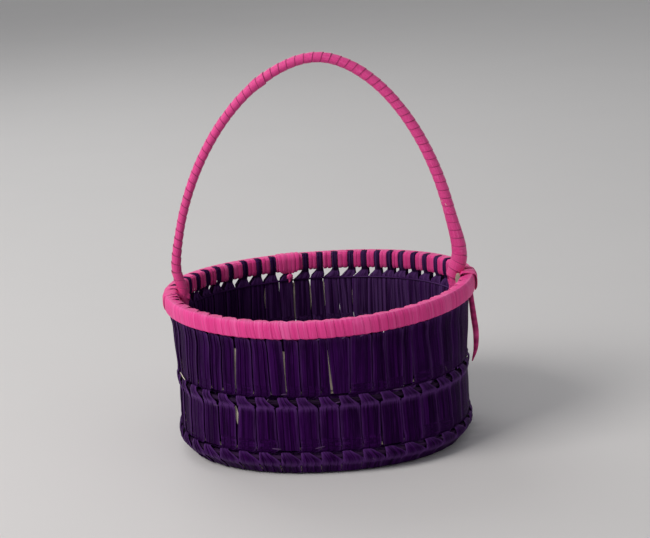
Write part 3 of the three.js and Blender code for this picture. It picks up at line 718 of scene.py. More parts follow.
def upper_rows(context, index):
    """A long stitch of the upper wall: up outside, over the rim's hoop, down inside and under the rod"""
    sizes = context.scene.basket_sizes
    low, high = UPPER_ROD_Z - SEAT, SHOULDER_Z + 1.8
    bar = neck_way(index)
    sunk = 1.9 * neck_hidden(index)
    rows = []
    for face, tier in ((1, UPPER_FRONT), (-1, UPPER_BACK)):
        leaf = leaf_nature(sizes, 0.22, tier, index)

        def broad(z, outward, tone=0.0, squeeze=0.0, fall=0.0):
            height = (z - low) / (high - low)
            left, right = upper_edges(context, tier, index, height)
            left_end = wall_place(left + 0.3 * squeeze, outward, z)
            right_end = wall_place(right - squeeze, outward, z - fall)
            return edge_row(left_end, right_end, leaf, tone)

        def neck(z, outward, half=UPPER_NECK / 2, drift=0.0, tone=0.0):
            return wall_row(bar + drift - half, bar + drift + half, outward, z, leaf, tone, 0.0)

        tier_rows = [
            broad(low, face * LEG),
            broad(58, face * (LEG + 0.1)),
            broad(66, face * (LEG + 0.15 + 0.25 * chance(31, tier, index))),
            broad(74, face * (LEG + 0.1)),
            broad(79.8, face * LEG, 0.05),
        ]
        # The tones of the top rows, up to the rim, paint highlights on the shoulders and necks
        if index > LAST_BACK_STITCH:
            fall = 0.2 + (1.2 if index <= LAST_SLOPING_TOP else 0.5) * chance(32, tier, index)
            tier_rows += [
                broad(84.8, face * (LEG + 0.15) - 0.7, 0.1, 0.0, 0.3 * fall),
                broad(87.4, face * (LEG + 0.25) - 1.3, 0.35, 0.1, 0.8 * fall),
                broad(88.7, face * (LEG + 0.05) - 1.4, 0.45, 0.9, fall),
            ]
        else:
            open_up = 1.0 if index > LAST_WIDE_NECK else 0.55
            wide = 0.5 * chance(33, index) + (1 - open_up)
            tier_rows += [
                broad(82.2, face * (LEG + 0.1), 0.15, 0.1),
                neck(84.2, face * (LEG + 0.15), 4.1 + 0.6 * wide, 1.5 + 0.4 * wide, 0.35),
                neck(85.9, face * LEG, 2.9 + 0.9 * wide, 0.7 + 0.6 * wide, 0.6),
                neck(87.4, face * LEG * 0.9, 2.2 + 0.6 * wide, 0.3, 0.6),
            ]
        tier_rows.append(neck(89.0, face * (0.8 if face > 0 else 2.9), UPPER_NECK / 2 + 0.2, 0.1, 0.2))
        entry, place_out = (91.1, STITCH_PASS) if face > 0 else (90.8, RIM_INSIDE)
        tier_rows += [
            neck(entry, place_out),
            neck(98.6 - sunk, place_out),
            neck(99.5 - sunk, place_out - 0.9 * face),
        ]
        rows += tier_rows if face > 0 else tier_rows[::-1]
    here = upper_edges(context, UPPER_BACK, index, 0)
    after = upper_edges(context, UPPER_FRONT, index + 1, 0)
    rows.append(fold_row(context, here, after, UPPER_ROD_Z - FOLD_DROP, 30, index))
    return rows


# How far the necks at the back of the rim stand from their even places, by stitch
NECK_DRIFT = {
    3: 1.2, 4: 1.4, 5: 2.2, 6: 2.2, 7: 2.0, 8: 0.6, 9: -0.4, 10: -1.1, 11: -2.0, 12: -1.2,
    13: -1.1, 14: -1.6, 16: 0.8, 17: 0.8, 18: 0.9, 19: 2.0, 20: 2.2, 21: 2.0, 22: 2.0,
    23: 1.8,
}


def neck_hidden(index):
    """1 where the binding closes over a neck on top of the rim: in front and at the right end"""
    return float(index % UPPER_STITCHES >= FIRST_HIDDEN_NECK or index == 0)


def neck_way(index):
    """Way of a stitch's neck in the rim"""
    return index * UPPER_PITCH + NECK_DRIFT.get(index % UPPER_STITCHES, 0.0)


def lower_rows(context, index):
    """A stitch of the lower wall: a broad band, a leaning tab over the middle hoop and a fold below"""
    sizes = context.scene.basket_sizes
    low, high = LOWER_ROD_Z - SEAT, 43.6
    tab = (index + 0.5) * LOWER_PITCH
    shift = 0.7 * stray(41, index)
    rows = []
    for face, tier in ((1, LOWER_FRONT), (-1, LOWER_BACK)):
        leaf = leaf_nature(sizes, 0.22, tier, index)

        def broad(z, outward, tone=0.0, squeeze=0.0):
            height = (z - low) / (high - low)
            left, right = lower_edges(context, tier, index, height)
            return wall_row(left + squeeze, right - squeeze, outward, z, leaf, tone)

        def neck(z, outward, left, right, tone=0.1):
            return wall_row(tab + shift + left, tab + shift + right, outward, z, leaf, tone, 0.0)

        reach = (HOOP_OUT + 2.1) if face > 0 else (2.1 - HOOP_OUT)
        skew = 1.0 if face > 0 else 0.3
        # The tones near the top paint the highlight along the folded top edge and on the tabs and crowns
        # over the middle hoop
        tier_rows = [
            broad(low, face * LEG),
            broad(24, face * (LEG + 0.1)),
            broad(33, face * (LEG + 0.15 + 0.2 * chance(43, tier, index))),
            broad(40.5, face * (LEG + 0.1), 0.1),
            broad(42.9, face * (LEG + 0.7), 0.55, 0.1),
            broad(43.8, face * (LEG + 0.8), 1.0, 0.5),
            neck(44.6, face * reach, -3.0, 3.0 + 5.0 * skew, 0.9),
            neck(46.2, face * (reach + 0.2), -2.9 - 0.2 * skew, 2.6 + 3.4 * skew, 0.3),
            neck(47.9, face * (reach + 0.15), -2.8 - 0.8 * skew, 2.4 + 1.4 * skew, 0.35),
        ]
        crown = neck(MID_HOOP_Z + 3.1, HOOP_OUT + face * 1.2, -4.2, 1.8, 0.6)
        rows += tier_rows + [crown] if face > 0 else [crown] + tier_rows[::-1]
    here = lower_edges(context, LOWER_BACK, index, 0)
    after = lower_edges(context, LOWER_FRONT, index + 1, 0)
    rows.append(fold_row(context, here, after, LOWER_ROD_Z - FOLD_DROP, 70, index))
    return rows


def ring_row(left, right, outward, z, leaf):
    """A row on the oval ring at the middle of the floor"""
    points = [oval_place(way, RING_HALF_LENGTH, RING_HALF_DEPTH, outward, z) for way in (left, right)]
    return edge_row(*points, leaf)


def base_rows(context, index):
    """A stitch of the base: out along the floor, a tab over the base hoop, round the foot and back below"""
    sizes = context.scene.basket_sizes
    tab = (index + 0.5) * LOWER_PITCH
    shift = 0.6 * stray(81, index)
    band = tab + NECK_LEAN
    half = LOWER_PITCH / 2 - 0.15
    inside = leaf_nature(sizes, 0.12, 82, index)
    outside = leaf_nature(sizes, 0.2, 83, index)
    sole = (0.0, 0.0, *outside[2:4], 0.0, outside[5])

    def neck(z, outward, left, right, leaf, tone=0.1):
        return wall_row(tab + shift + left, tab + shift + right, outward, z, leaf, tone, 0.0)

    def broad(z, outward, leaf, part=1.0, tone=0.0):
        return wall_row(band - half * part, band + half * part, outward, z, leaf, tone)

    # The tones paint highlights on the tabs over the base hoop and at the top of the turn round the foot
    return [
        ring_row(band - half, band + half, -RING_ROD - 0.1, RING_Z, sole),
        ring_row(band - half, band + half, -RING_ROD * 0.6, 3.0, sole),
        ring_row(band - half, band + half, 1.2, 3.45, inside),
        broad(5.2, -14.0, inside),
        broad(5.6, -4.5, inside),
        broad(6.6, -2.2, inside, 0.8, 0.1),
        neck(8.6, -1.7, -2.4, 3.2, inside, 0.2),
        neck(10.8, HOOP_OUT - 2.15, -2.2, 2.4, inside),
        neck(12.6, HOOP_OUT - 1.7, -2.3, 2.1, inside),
        neck(14.3, HOOP_OUT + 0.2, -3.2, 1.6, inside, 0.5),
        neck(14.6, HOOP_OUT + 1.6, -3.3, 2.2, outside, 0.6),
        neck(13.2, HOOP_OUT + 2.2, -3.1, 5.4, outside, 0.3),
        neck(11.6, HOOP_OUT + 2.4, -3.1, 8.0, outside, 0.15),
        neck(10.0, HOOP_OUT + 2.3, -3.2, 9.6, outside, 0.3),
        neck(8.7, HOOP_OUT + 2.0, -3.4, 9.8, outside, 0.6),
        broad(7.4, 2.7, outside, 0.98, 0.6),
        broad(6.0, 2.35, outside, 1.0, 0.1),
        broad(4.0, 2.35, outside),
        broad(1.9, 1.8, outside),
        broad(1.1, 0.7, sole),
        broad(SOLE_Z, -0.7, sole),
        broad(SOLE_Z, -3.0, sole),
        broad(SOLE_Z, -14.0, sole),
        ring_row(band - half, band + half, 1.6, SOLE_Z, sole),
    ]


def strip_ranges(total, strips):
    """First and last stitch of each strip, the last not counted, as even as they come"""
    bounds = [round(strip * total / strips + 1e-9) for strip in range(strips + 1)]
    return list(zip(bounds, bounds[1:]))


def sewn_strips(context, prefix, node, strips, stitches, rows_of, facing, thickness, step):
    """One leaf body for each CAD strip, through all of its stitches"""
    for strip, (first, end) in enumerate(strip_ranges(stitches, strips)):
        parts = MeshParts()
        rows = [row for index in range(first, end) for row in rows_of(context, index)]
        parts.leaf(rows, thickness, facing, step, fine=True)
        parts.build(context, f"{prefix}_{strip + 1:02d}", "leaf_purple", f"{node}_{strip + 1:02d}")


# Hoops


def hoop_piece(
    context, name, node, slot, outward, z, half_out, half_tall, sides, seed, start=0.0, steps=180
):
    """A closed hoop of round or flattened section that follows the wall"""
    ways = start + np.arange(steps) / steps * RIM_AROUND
    heights = np.full(steps, float(z))
    centre = wall_place(ways, np.full(steps, float(outward)), heights)
    beyond = wall_place(ways, np.full(steps, float(outward) + 1.0), heights)
    parts = MeshParts()
    uneven = 1 + 0.05 * np.sin(ways * 0.23 + seed) + 0.03 * np.sin(ways * 0.9)
    parts.rod(centre, unit(beyond - centre), UP, half_out * uneven, half_tall * uneven, sides, seed, True)
    parts.build(context, name, slot, node)


def flat_hoop_piece(context, name, node, outward, half_out, half_tall, seed):
    """A hoop of flat splint with rounded corners inside the rim"""
    middle_z = (RIM_TOP + RIM_BOTTOM) / 2
    steps, corners = 156, 12
    ways = np.arange(steps) / steps * RIM_AROUND
    angles = (np.arange(corners) + 0.5) / corners * 2 * math.pi
    out = half_out * np.sign(np.cos(angles)) * np.abs(np.cos(angles)) ** 0.4
    rise = half_tall * np.sign(np.sin(angles)) * np.abs(np.sin(angles)) ** 0.4
    rings = []
    for away, height in zip(out, rise):
        rings.append(wall_place(ways, np.full(steps, outward + away), np.full(steps, middle_z + height)))
    places = grain_places(rise[None, :], ways, seed)
    parts = MeshParts()
    parts.loft(np.stack(rings, 1), places, np.zeros((steps, corners)), True)
    parts.build(context, name, "leaf_natural", node)


# Rim binding


# Painted shade in the seams between turns, by strip, darkest on the front's right; below 0 is darker than
# the leaf
SEAM_SHADES = (-0.25, -0.25, -0.1, -0.12, -0.4)

# One turn of the binding is broader than the others
WIDE_TURN = 81


def binding_rows(context, turn):
    """One turn of the rim's binding: up inside between two necks, over the top, down outside and under"""
    sizes = context.scene.basket_sizes
    shingle = sizes.shingle / MM
    beside = UPPER_NECK / 2 + SEAT - 0.15

    def inner_way(number):
        gap = number // 2
        first, last = neck_way(gap) + beside, neck_way(gap + 1) - beside
        return first + (last - first) * (number % 2 + 0.5) / 2

    here, after = inner_way(turn), inner_way(turn + 1)
    narrow = (neck_way(turn // 2 + 1) - neck_way(turn // 2) - 2 * beside) / 4 + 0.12 * stray(101, turn)
    outer = (turn + 1) * UPPER_PITCH / 2 + 0.15 * stray(102, turn)
    wide = UPPER_PITCH / 4 + 0.42 + 0.08 * stray(103, turn) + (1.0 if turn == WIDE_TURN else 0.0)
    slant = 0.5 + 0.15 * stray(104, turn)
    seed = 90 * chance(105, turn)
    inside = flat_nature(0.3, 0.1, seed)
    grown = (turn - SHINGLE_FROM_TURN) / (SHINGLE_FULL_TURN - SHINGLE_FROM_TURN)
    raised = 0.35 + 0.9 * min(1.0, max(0.0, grown))
    front = flat_nature(0.12, raised * shingle * (0.8 + 0.4 * chance(106, turn)), seed)

    def span(way, half, outward, z, leaf, tone=0.0, tilt=None):
        return wall_row(way - half, way + half, outward, z, leaf, tone, tilt)

    swell = 0.2 * chance(107, turn)
    bright = 0.35 if turn == WIDE_TURN else 0.0
    closed = neck_hidden((turn + 1) // 2)
    cover = narrow * 1.1 + 1.6 * closed
    top = RIM_TOP - 0.6 - 0.6 * closed
    crossing, cross_half = (2 * outer + here) / 3, (cover + 2 * wide) / 3
    # The tones on top and at the top of the outer face paint a highlight along the binding's upper edge;
    # the wide turn stands further out and is lighter
    return [
        span(here, narrow * 0.9, RIM_INSIDE + 0.5, RIM_BOTTOM + 0.75, inside),
        span(here, narrow, RIM_INSIDE, RIM_BOTTOM + 1.5, inside),
        span(here, narrow, RIM_INSIDE - 0.15 - swell, (RIM_BOTTOM + RIM_TOP) / 2, inside),
        span(here, narrow, RIM_INSIDE, RIM_TOP - 1.5 - closed, inside),
        span(here, narrow, RIM_INSIDE + 0.9, RIM_TOP - 0.66 - closed, inside),
        span(here, cover, -0.9, top, inside, 0.1),
        span(crossing, cross_half, 1.6, RIM_TOP - 0.55 - 0.15 * closed, front, 0.2, 0.0),
        span(outer - slant, wide, RIM_OUTSIDE - 0.7, RIM_TOP - 0.75, front, 0.4),
        span(outer - slant, wide, RIM_OUTSIDE + 0.2 * bright, RIM_TOP - 1.9, front, 0.15 + bright),
        span(outer, wide, RIM_OUTSIDE + 0.25 + 0.3 * bright, (RIM_BOTTOM + RIM_TOP) / 2, front, bright),
        span(outer + slant / 2, wide, RIM_OUTSIDE + 0.15 + 0.3 * bright, RIM_BOTTOM + 3.0, front, bright),
        span(outer + slant, wide, RIM_OUTSIDE - 0.1 + 0.2 * bright, RIM_BOTTOM + 1.3, front, 0.5 * bright),
        span((outer + after) / 2, (narrow + wide) / 2, 2.2, RIM_BOTTOM + 0.55, inside, 0.0, 0.0),
        span(after, narrow, -1.2, RIM_BOTTOM + 0.6, inside, 0.0, 0.0),
    ]


# Handle


def handle_line(count=1600):
    """Evenly spaced points along the handle's middle line, with its whole length"""
    rise = HANDLE_TOP - (HANDLE_THIN + HANDLE_THICK) / 4 - HANDLE_SPRING_Z
    points = [(LEFT_FOOT_X, 0, RIM_BOTTOM), (LEFT_FOOT_X, 0, RIM_TOP - 0.7)]
    for i in range(16):
        angle = math.pi * (1 - (i + 0.5) / 16)
        left = math.cos(angle) < 0
        reach, power = (-LEFT_REACH, LEFT_ARCH_POWER) if left else (RIGHT_REACH, RIGHT_ARCH_POWER)
        up = math.sin(angle) ** (2 / power)
        x = HANDLE_MIDDLE + HANDLE_LEAN * up + reach * abs(math.cos(angle)) ** (2 / power)
        z = HANDLE_SPRING_Z + rise * up
        x += 0.0 if left else LEG_LEAN * math.exp(-(((z - HANDLE_SPRING_Z) / LEG_LEAN_HEIGHT) ** 2))
        points.append((x, 0, z))
    points += [(RIGHT_FOOT_X, 0, RIM_TOP - 0.7), (RIGHT_FOOT_X, 0, RIM_BOTTOM)]
    rows = np.array([edge_row(point, point, flat_nature(0, 0, 0)) for point in points], float)
    fine = smooth_rows(rows, 0.3)[:, :3]
    lengths = lengths_along(fine)
    even = np.linspace(0, lengths[-1], count)
    return np.stack([np.interp(even, lengths, fine[:, axis]) for axis in range(3)], -1), lengths[-1]


def handle_places(line, shares, angles):
    """Middle, direction along and direction outward at shares of the handle's length"""
    index = np.clip(shares, 0, 1) * (len(line) - 1)
    grid = np.arange(len(line))
    at = np.stack([np.interp(index, grid, line[:, axis]) for axis in range(3)], -1)
    runs = unit(np.gradient(line, axis=0))
    along = unit(np.stack([np.interp(index, grid, runs[:, axis]) for axis in range(3)], -1))
    across = np.stack([-along[:, 2], np.zeros(len(along)), along[:, 0]], -1)
    out = across * np.cos(angles)[:, None] + BACK * np.sin(angles)[:, None]
    return at, along, out


# Where a new strip thickens the binding: share of the handle's length, height and width
STRIP_JOINS = ((0.408, 0.50, 0.010), (0.585, 0.12, 0.012))

# Where the binding of the right leg is drawn in: share of the handle's length and depth
LEG_PINCHES = ((0.929, 0.3), (0.941, 0.3), (0.971, 0.6))


def handle_radius(share):
    """Radius under the binding; it steps where a new strip starts and swells towards both feet"""
    even = (HANDLE_THIN + (HANDLE_THICK - HANDLE_THIN) * share) / 2 - 0.7
    step = sum(high * np.exp(-(((share - at) / width) ** 2)) for at, high, width in STRIP_JOINS)
    foot = 1.4 * np.clip((share - 0.86) / 0.09, 0, 1) ** 1.3 - 1.5 * np.clip((share - 0.966) / 0.012, 0, 1)
    foot += 0.75 * np.clip((0.13 - share) / 0.09, 0, 1)
    pinch = sum(deep * np.exp(-(((share - at) / 0.0016) ** 2)) for at, deep in LEG_PINCHES)
    return even + step + foot - pinch


# Operators


class BasketPiece:
    """Shared by the operators that build pieces"""

    bl_options = {"REGISTER", "UNDO"}

    def execute(self, context):
        made_before = len(bpy.data.objects)
        self.make(context)
        if len(bpy.data.objects) == made_before:
            raise RuntimeError(f"{self.bl_idname} made nothing")
        return {"FINISHED"}


class BASKET_OT_hoops(BasketPiece, bpy.types.Operator):
    """Builds the hoops, the hidden rods, the neck strand and the floor's ring"""

    bl_idname = "basket.hoops"
    bl_label = "Hoops and Rods"

    def make(self, context):
        tab = 0.5 * LOWER_PITCH
        for node, height, seed in (("middle_hoop", MID_HOOP_Z, 3), ("base_hoop", BASE_HOOP_Z, 5)):
            place = (HOOP_OUT, height, HOOP_ROD, HOOP_ROD)
            hoop_piece(context, f"{node}_splint", node, "hoop_purple", *place, 12, seed, tab)
        hidden = (
            ("upper_rod_splint", "upper_fold_rod", UPPER_ROD_Z, HIDDEN_ROD, 7),
            ("lower_rod_splint", "lower_fold_rod", LOWER_ROD_Z, HIDDEN_ROD, 9),
            ("foot_hoop_splint", "foot_hoop", FOOT_HOOP_Z, FOOT_ROD, 11),
        )
        for name, node, height, rod, seed in hidden:
            half = rod * HIDDEN_SHARE
            hoop_piece(context, name, node, "leaf_natural", 0, height, half, half, 8, seed, 0, 120)
        strand = (-(LEG + 0.7 + SEAT + STRAND / 2), SHOULDER_Z + 2.7, STRAND * 0.42, STRAND / 2)
        hoop_piece(context, "neck_strand_leaf", "neck_strand", "leaf_purple", *strand, 8, 13)
        flat_hoop_piece(context, "rim_inner_splint", "rim_inner_hoop", -1.8, 1.85, 3.6, 15)
        flat_hoop_piece(context, "rim_outer_splint", "rim_outer_hoop", 2.45, 0.72, 3.95, 17)
        self.ring(context)
        self.centre(context)

    def ring(self, context):
        steps = 96
        ways = np.arange(steps) / steps * RIM_AROUND
        heights = np.full(steps, RING_Z)
        centre, beyond = (
            oval_place(ways, RING_HALF_LENGTH, RING_HALF_DEPTH, np.full(steps, out), heights)
            for out in (SEAT, SEAT + 1)
        )
        parts = MeshParts()
        parts.rod(centre, unit(beyond - centre), UP, RING_ROD, RING_ROD, 8, 19, True)
        parts.build(context, "floor_ring_splint", "leaf_purple", "floor_ring")

    def centre(self, context):
        """A coil wound from a short middle stem outward, with its short wrapping turns"""
        turns, per_turn = 6, 64
        t = np.linspace(0.06, 1, turns * per_turn)
        angle = t * turns * 2 * math.pi
        reach, depth = 19.5 + 13.7 * t, 15.3 * t
        centre = np.stack([reach * np.cos(angle), depth * np.sin(angle), np.full(len(t), COIL_Z)], -1)
        run = unit(np.gradient(centre, axis=0))
        across = unit(np.cross(run, UP))
        travel = np.cumsum(np.linalg.norm(np.gradient(centre, axis=0), axis=1))
        ripple = 1 + 0.10 * np.abs(np.sin(travel * 0.9))
        parts = MeshParts()
        parts.rod(centre, across, UP, 1.28 * ripple, 1.5 * ripple, 10, 21, False)
        heart = np.stack([np.linspace(-21, 21, 24), np.zeros(24), np.full(24, COIL_Z)], -1)
        parts.rod(heart, BACK, UP, 1.2, 1.3, 10, 22, False)
        parts.build(context, "floor_centre_coil", "leaf_purple", "floor_centre")


class BASKET_OT_upper_wall(BasketPiece, bpy.types.Operator):
    """Sews the upper wall: long stitches over the rim's hoop and under the hidden rod"""

    bl_idname = "basket.upper_wall"
    bl_label = "Upper Wall"

    def make(self, context):
        thickness = context.scene.basket_sizes.leaf_thickness / MM
        counts = (UPPER_STRIPS, UPPER_STITCHES)
        sewn_strips(context, "upper_leaf", "upper_strip", *counts, upper_rows, 1, thickness, 3.6)


class BASKET_OT_lower_wall(BasketPiece, bpy.types.Operator):
    """Sews the lower wall: broad bands with leaning tabs over the middle hoop"""

    bl_idname = "basket.lower_wall"
    bl_label = "Lower Wall"

    def make(self, context):
        thickness = context.scene.basket_sizes.leaf_thickness / MM
        counts = (LOWER_STRIPS, LOWER_STITCHES)
        sewn_strips(context, "lower_leaf", "lower_strip", *counts, lower_rows, 1, thickness, 3.6)


class BASKET_OT_base(BasketPiece, bpy.types.Operator):
    """Sews the base: strips across the floor, tabs over the base hoop and turns round the foot"""

    bl_idname = "basket.base"
    bl_label = "Base"

    def make(self, context):
        counts = (BASE_STRIPS, LOWER_STITCHES)
        sewn_strips(context, "base_leaf", "base_strip", *counts, base_rows, -1, BASE_LEAF, 6.0)


class BASKET_OT_stakes(BasketPiece, bpy.types.Operator):
    """Sets the upright natural splints behind the open slits of the wall"""

    bl_idname = "basket.stakes"
    bl_label = "Stakes"

    def make(self, context):
        for number, gap in enumerate(STAKE_GAPS):
            way = (gap + 0.5) * UPPER_PITCH + NECK_LEAN
            leaf = flat_nature(0.15, 0.0, 7.0 * number)
            rows = [
                wall_row(way - half, way + half, 0.55, z, leaf, 0.2 * chance(111, number, z))
                for z, half in ((54.2, 2.1), (60, 2.4), (68, 2.5), (75, 2.4), (80.2, 2.0))
            ]
            parts = MeshParts()
            parts.leaf(rows, 0.8, 1, 2.5, 0.2)
            name, node = f"natural_splint_{number + 1}", f"wall_stake_{number + 1}"
            parts.build(context, name, "leaf_natural", node)


# Height and direction round the right leg of the pale end in its binding
NICK_Z = 147.5
NICK_ANGLE = -2.2

# Ends of leaf between the stitches: way and height of both ends, distance out, half width and tone
PALE_ENDS = (
    (130.9, 63.0, 131.0, 80.5, -1.5, 1.0, 0.3),
    (141.2, 60.0, 141.0, 81.0, -1.5, 1.1, 0.3),
    (151.4, 56.0, 151.3, 80.5, -1.5, 1.1, 0.3),
    (172.0, 64.0, 172.2, 79.0, -1.5, 0.9, 0.3),
    (110.3, 62.0, 110.2, 77.0, -1.5, 0.9, 0.3),
    (345.2, 43.0, 346.6, 31.5, 0.9, 1.2, 0.3),
    (291.5, 52.8, 301.0, 50.6, 2.8, 0.45, 0.3),
)
DYED_ENDS = (
    (436.3, 24.0, 436.9, 15.5, 0.9, 1.1, 0.5),
    (457.0, 54.6, 457.6, 70.5, 0.9, 1.1, 0.5),
    (375.1, 52.6, 378.9, 53.1, 2.7, 0.35, 1.0),
    (366.2, 48.3, 367.6, 50.0, 3.4, 0.35, 1.0),
    (407.7, 46.2, 411.0, 46.9, 3.3, 0.35, 1.0),
    (443.5, 50.4, 449.9, 49.9, 2.7, 0.4, 1.0),
    (330.8, 42.4, 334.5, 42.2, 2.9, 0.4, 1.0),
    (367.8, 17.9, 373.4, 17.6, 2.3, 0.4, 1.0),
    (394.2, 17.6, 400.2, 18.9, 2.3, 0.35, 1.0),
    (428.6, 9.6, 430.9, 8.0, 3.4, 0.45, 1.0),
    (473.3, 14.1, 474.9, 12.3, 3.3, 0.5, 0.5),
    (481.8, 11.7, 484.0, 9.2, 3.4, 0.5, 0.5),
    (482.0, 56.2, 483.4, 52.4, 2.6, 0.4, 0.5),
    (398.6, 88.6, 400.8, 89.5, 3.9, 0.4, 1.0),
    (413.1, 88.4, 414.9, 89.4, 3.9, 0.4, 1.0),
    (423.6, 88.5, 425.8, 89.6, 3.9, 0.45, 1.0),
)


class BASKET_OT_leaf_ends(BasketPiece, bpy.types.Operator):
    """Tucks the small ends of leaf in between the stitches, the undyed and the dyed ones"""

    bl_idname = "basket.leaf_ends"
    bl_label = "Leaf Ends"

    def make(self, context):
        pale = self.ends(PALE_ENDS)
        self.nick(pale)
        pale.build(context, "leaf_end_tips", "leaf_natural")
        self.ends(DYED_ENDS).build(context, "dyed_end_tips", "hoop_purple")

    def ends(self, table):
        parts = MeshParts()
        for number, (way, z, end_way, end_z, outward, half, tone) in enumerate(table):
            leaf = flat_nature(0.08, 0.0, 13.0 * number)
            along = unit(wall_place(end_way, 0.0, end_z) - wall_place(way, 0.0, z))
            rows = []
            for part, fullness in ((0, 0.35), (0.25, 1.0), (0.75, 0.9), (1, 0.2)):
                here, height = way + (end_way - way) * part, z + (end_z - z) * part
                normal = wall_axes(here)[0]
                across = unit(np.cross(normal, along)) * half * fullness
                at = wall_place(here, outward, height)
                rows.append(edge_row(at + across, at - across, leaf, tone))
            parts.leaf(rows, 0.25, 1, 1.5, 0.3)
        return parts

    def nick(self, parts):
        """The short pale end that stands out of the binding on the right leg"""
        line = handle_line()[0]
        right = np.flatnonzero((line[:, 0] > 0) & (line[:, 2] < NICK_Z))[0]
        share = np.array([right / (len(line) - 1)])
        place, run, away = (value[0] for value in handle_places(line, share, np.array([NICK_ANGLE])))
        across = unit(np.cross(away, run))
        middle = place + away * (handle_radius(share)[0] + 0.45)
        rows = []
        for along, half in ((-2.2, 0.3), (-0.8, 0.7), (0.9, 0.7), (2.0, 0.25)):
            at = middle + unit(run + 0.7 * across) * along
            tucked = at - away * 0.2 - across * half
            rows.append(edge_row(tucked, at + across * half, flat_nature(0.1, 0.0, 5.0), 0.3))
        parts.leaf(rows, 0.3, 1, 1.0, 0.3)


class BASKET_OT_rim_binding(BasketPiece, bpy.types.Operator):
    """Winds the pink binding round the rim's two hoops, between the necks of the stitches"""

    bl_idname = "basket.rim_binding"
    bl_label = "Rim Binding"

    def make(self, context):
        turns = 2 * UPPER_STITCHES
        for strip, (first, end) in enumerate(strip_ranges(turns, BINDING_STRIPS)):
            rows = [row for turn in range(first, end) for row in binding_rows(context, turn)]
            parts = MeshParts()
            parts.leaf(rows, BINDING_LEAF, -1, 2.4, SEAM_SHADES[strip])
            name, node = f"rim_leaf_{strip + 1:02d}", f"rim_binding_{strip + 1:02d}"
            parts.build(context, name, "leaf_pink", node)


class BASKET_OT_handle(BasketPiece, bpy.types.Operator):
    """Winds the handle's three strips round its core"""

    bl_idname = "basket.handle"
    bl_label = "Handle"

    def make(self, context):
        line, length = handle_line()
        shares = np.linspace(0.0, 1.0, 90)
        at, _, out = handle_places(line, shares, np.zeros(90))
        radius = handle_radius(shares) - 0.35
        parts = MeshParts()
        parts.rod(at, out, BACK, radius, radius, 10, 23, False)
        parts.build(context, "handle_core_cane", "leaf_natural", "handle_core")

        shingle = context.scene.basket_sizes.shingle / MM
        turns = HANDLE_WRAPS * TURNS_PER_WRAP
        per_turn = 18
        pitch = length / turns
        for wrap in range(HANDLE_WRAPS):
            rows = []
            first = wrap * TURNS_PER_WRAP * per_turn
            for i in range(1, TURNS_PER_WRAP * per_turn):
                turn = (first + i) // per_turn
                share = np.array([(first + i) / (turns * per_turn)])
                angle = np.array([(first + i) / per_turn * 2 * math.pi])
                place, run, away = (value[0] for value in handle_places(line, share, angle))
                place = place + away * handle_radius(share)[0]
                part = (first + i) % per_turn / per_turn
                wave = (1 - part) * stray(121, turn) + part * stray(121, turn + 1)
                half = pitch / 2 * (1.10 + 0.10 * wave)
                seed = 90 * ((1 - part) * chance(122, turn) + part * chance(122, turn + 1))
                leaf = flat_nature(0.06, shingle, seed)
                rows.append(edge_row(place - run * half, place + run * half, leaf))
            parts = MeshParts()
            # The edges of the turns get painted shade: dark seam lines between the turns
            parts.leaf(rows, BINDING_LEAF, 1, 9.0, -0.75)
            name, node = f"handle_leaf_{wrap + 1}", f"handle_wrap_{wrap + 1}"
            parts.build(context, name, "leaf_pink", node, look="leaf_pink_sheen")


def placed(end, points):
    """Points near an end of the rim with their outward directions"""
    found = []
    for way, outward, z, (out_r, out_s, out_z) in points:
        normal, side = wall_axes(end + way)
        out = unit(normal * out_r + side * out_s + np.array([0, 0, out_z]))
        found.append((wall_place(end + way, outward, z), out))
    return found


def over_rim(way, lean, outside):
    """Points of a turn that rises outside the rim, leans sideways and goes over its top"""
    middle = (RIM_TOP + RIM_BOTTOM) / 2
    return [
        (way - lean, outside - 0.9, RIM_BOTTOM - 0.2, (1, 0, -1)),
        (way - 0.7 * lean, outside - 0.1, RIM_BOTTOM + 2.0, (1, 0, -0.2)),
        (way - 0.1 * lean, outside + 0.1, middle, (1, 0, 0)),
        (way + 0.5 * lean, outside - 0.1, RIM_TOP - 2.4, (1, 0, 0.2)),
        (way + 0.7 * lean, outside - 0.9, RIM_TOP - 0.5, (0.8, 0, 1)),
        (way + 0.8 * lean, 1.0, RIM_TOP + 0.35, (0, 0, 1)),
        (way + 0.9 * lean, LEG_FACE + 1.6, RIM_TOP + 0.1, (-0.5, 0, 1)),
        (way + lean, LEG_FACE + 0.4, RIM_TOP - 1.6, (-1, 0, 0.4)),
    ]


def lash_points(end, leg_middle, leg_radius, side_room):
    """Points of a lashing that crosses the rim on both sides of a leg and in an X round the leg"""
    outside = RIM_OUTSIDE + 1.0
    front = leg_middle - leg_radius - 0.3
    second = front - 0.6
    height = RIM_TOP - RIM_BOTTOM
    top_way = leg_radius + side_room + SEAT + 1.6
    side_way = leg_radius + side_room + 0.5
    front_way = leg_radius * 0.55
    points = []
    for way, reach in ((-1, front), (1, second)):
        points += over_rim(way * (top_way + 0.2), -0.5 * way, outside)
        points += [
            (way * side_way, leg_middle, RIM_TOP - height * 0.35, (0, way, 0)),
            (way * front_way, reach, RIM_BOTTOM + height * 0.6, (-1, 0, 0)),
            (-way * front_way, reach, RIM_BOTTOM + height * 0.4, (-1, 0, 0)),
            (-way * side_way, leg_middle, RIM_BOTTOM + height * 0.3, (0, -way, 0)),
            (-way * top_way, LEG_FACE, RIM_BOTTOM - SEAT, (-1, 0, -1)),
        ]
    return placed(end, points)


def laid_rows(points, half, leaf, tones=None):
    """Rows of a strip laid square to its run through points with outward directions"""
    rows = []
    for i, (at, out) in enumerate(points):
        run = unit(points[min(i + 1, len(points) - 1)][0] - points[max(i - 1, 0)][0])
        side = unit(np.cross(run, out))
        width = half[i] if hasattr(half, "__len__") else half
        tone = tones[i] if tones else 0.0
        rows.append(edge_row(at - side * width, at + side * width, leaf, tone))
    return rows


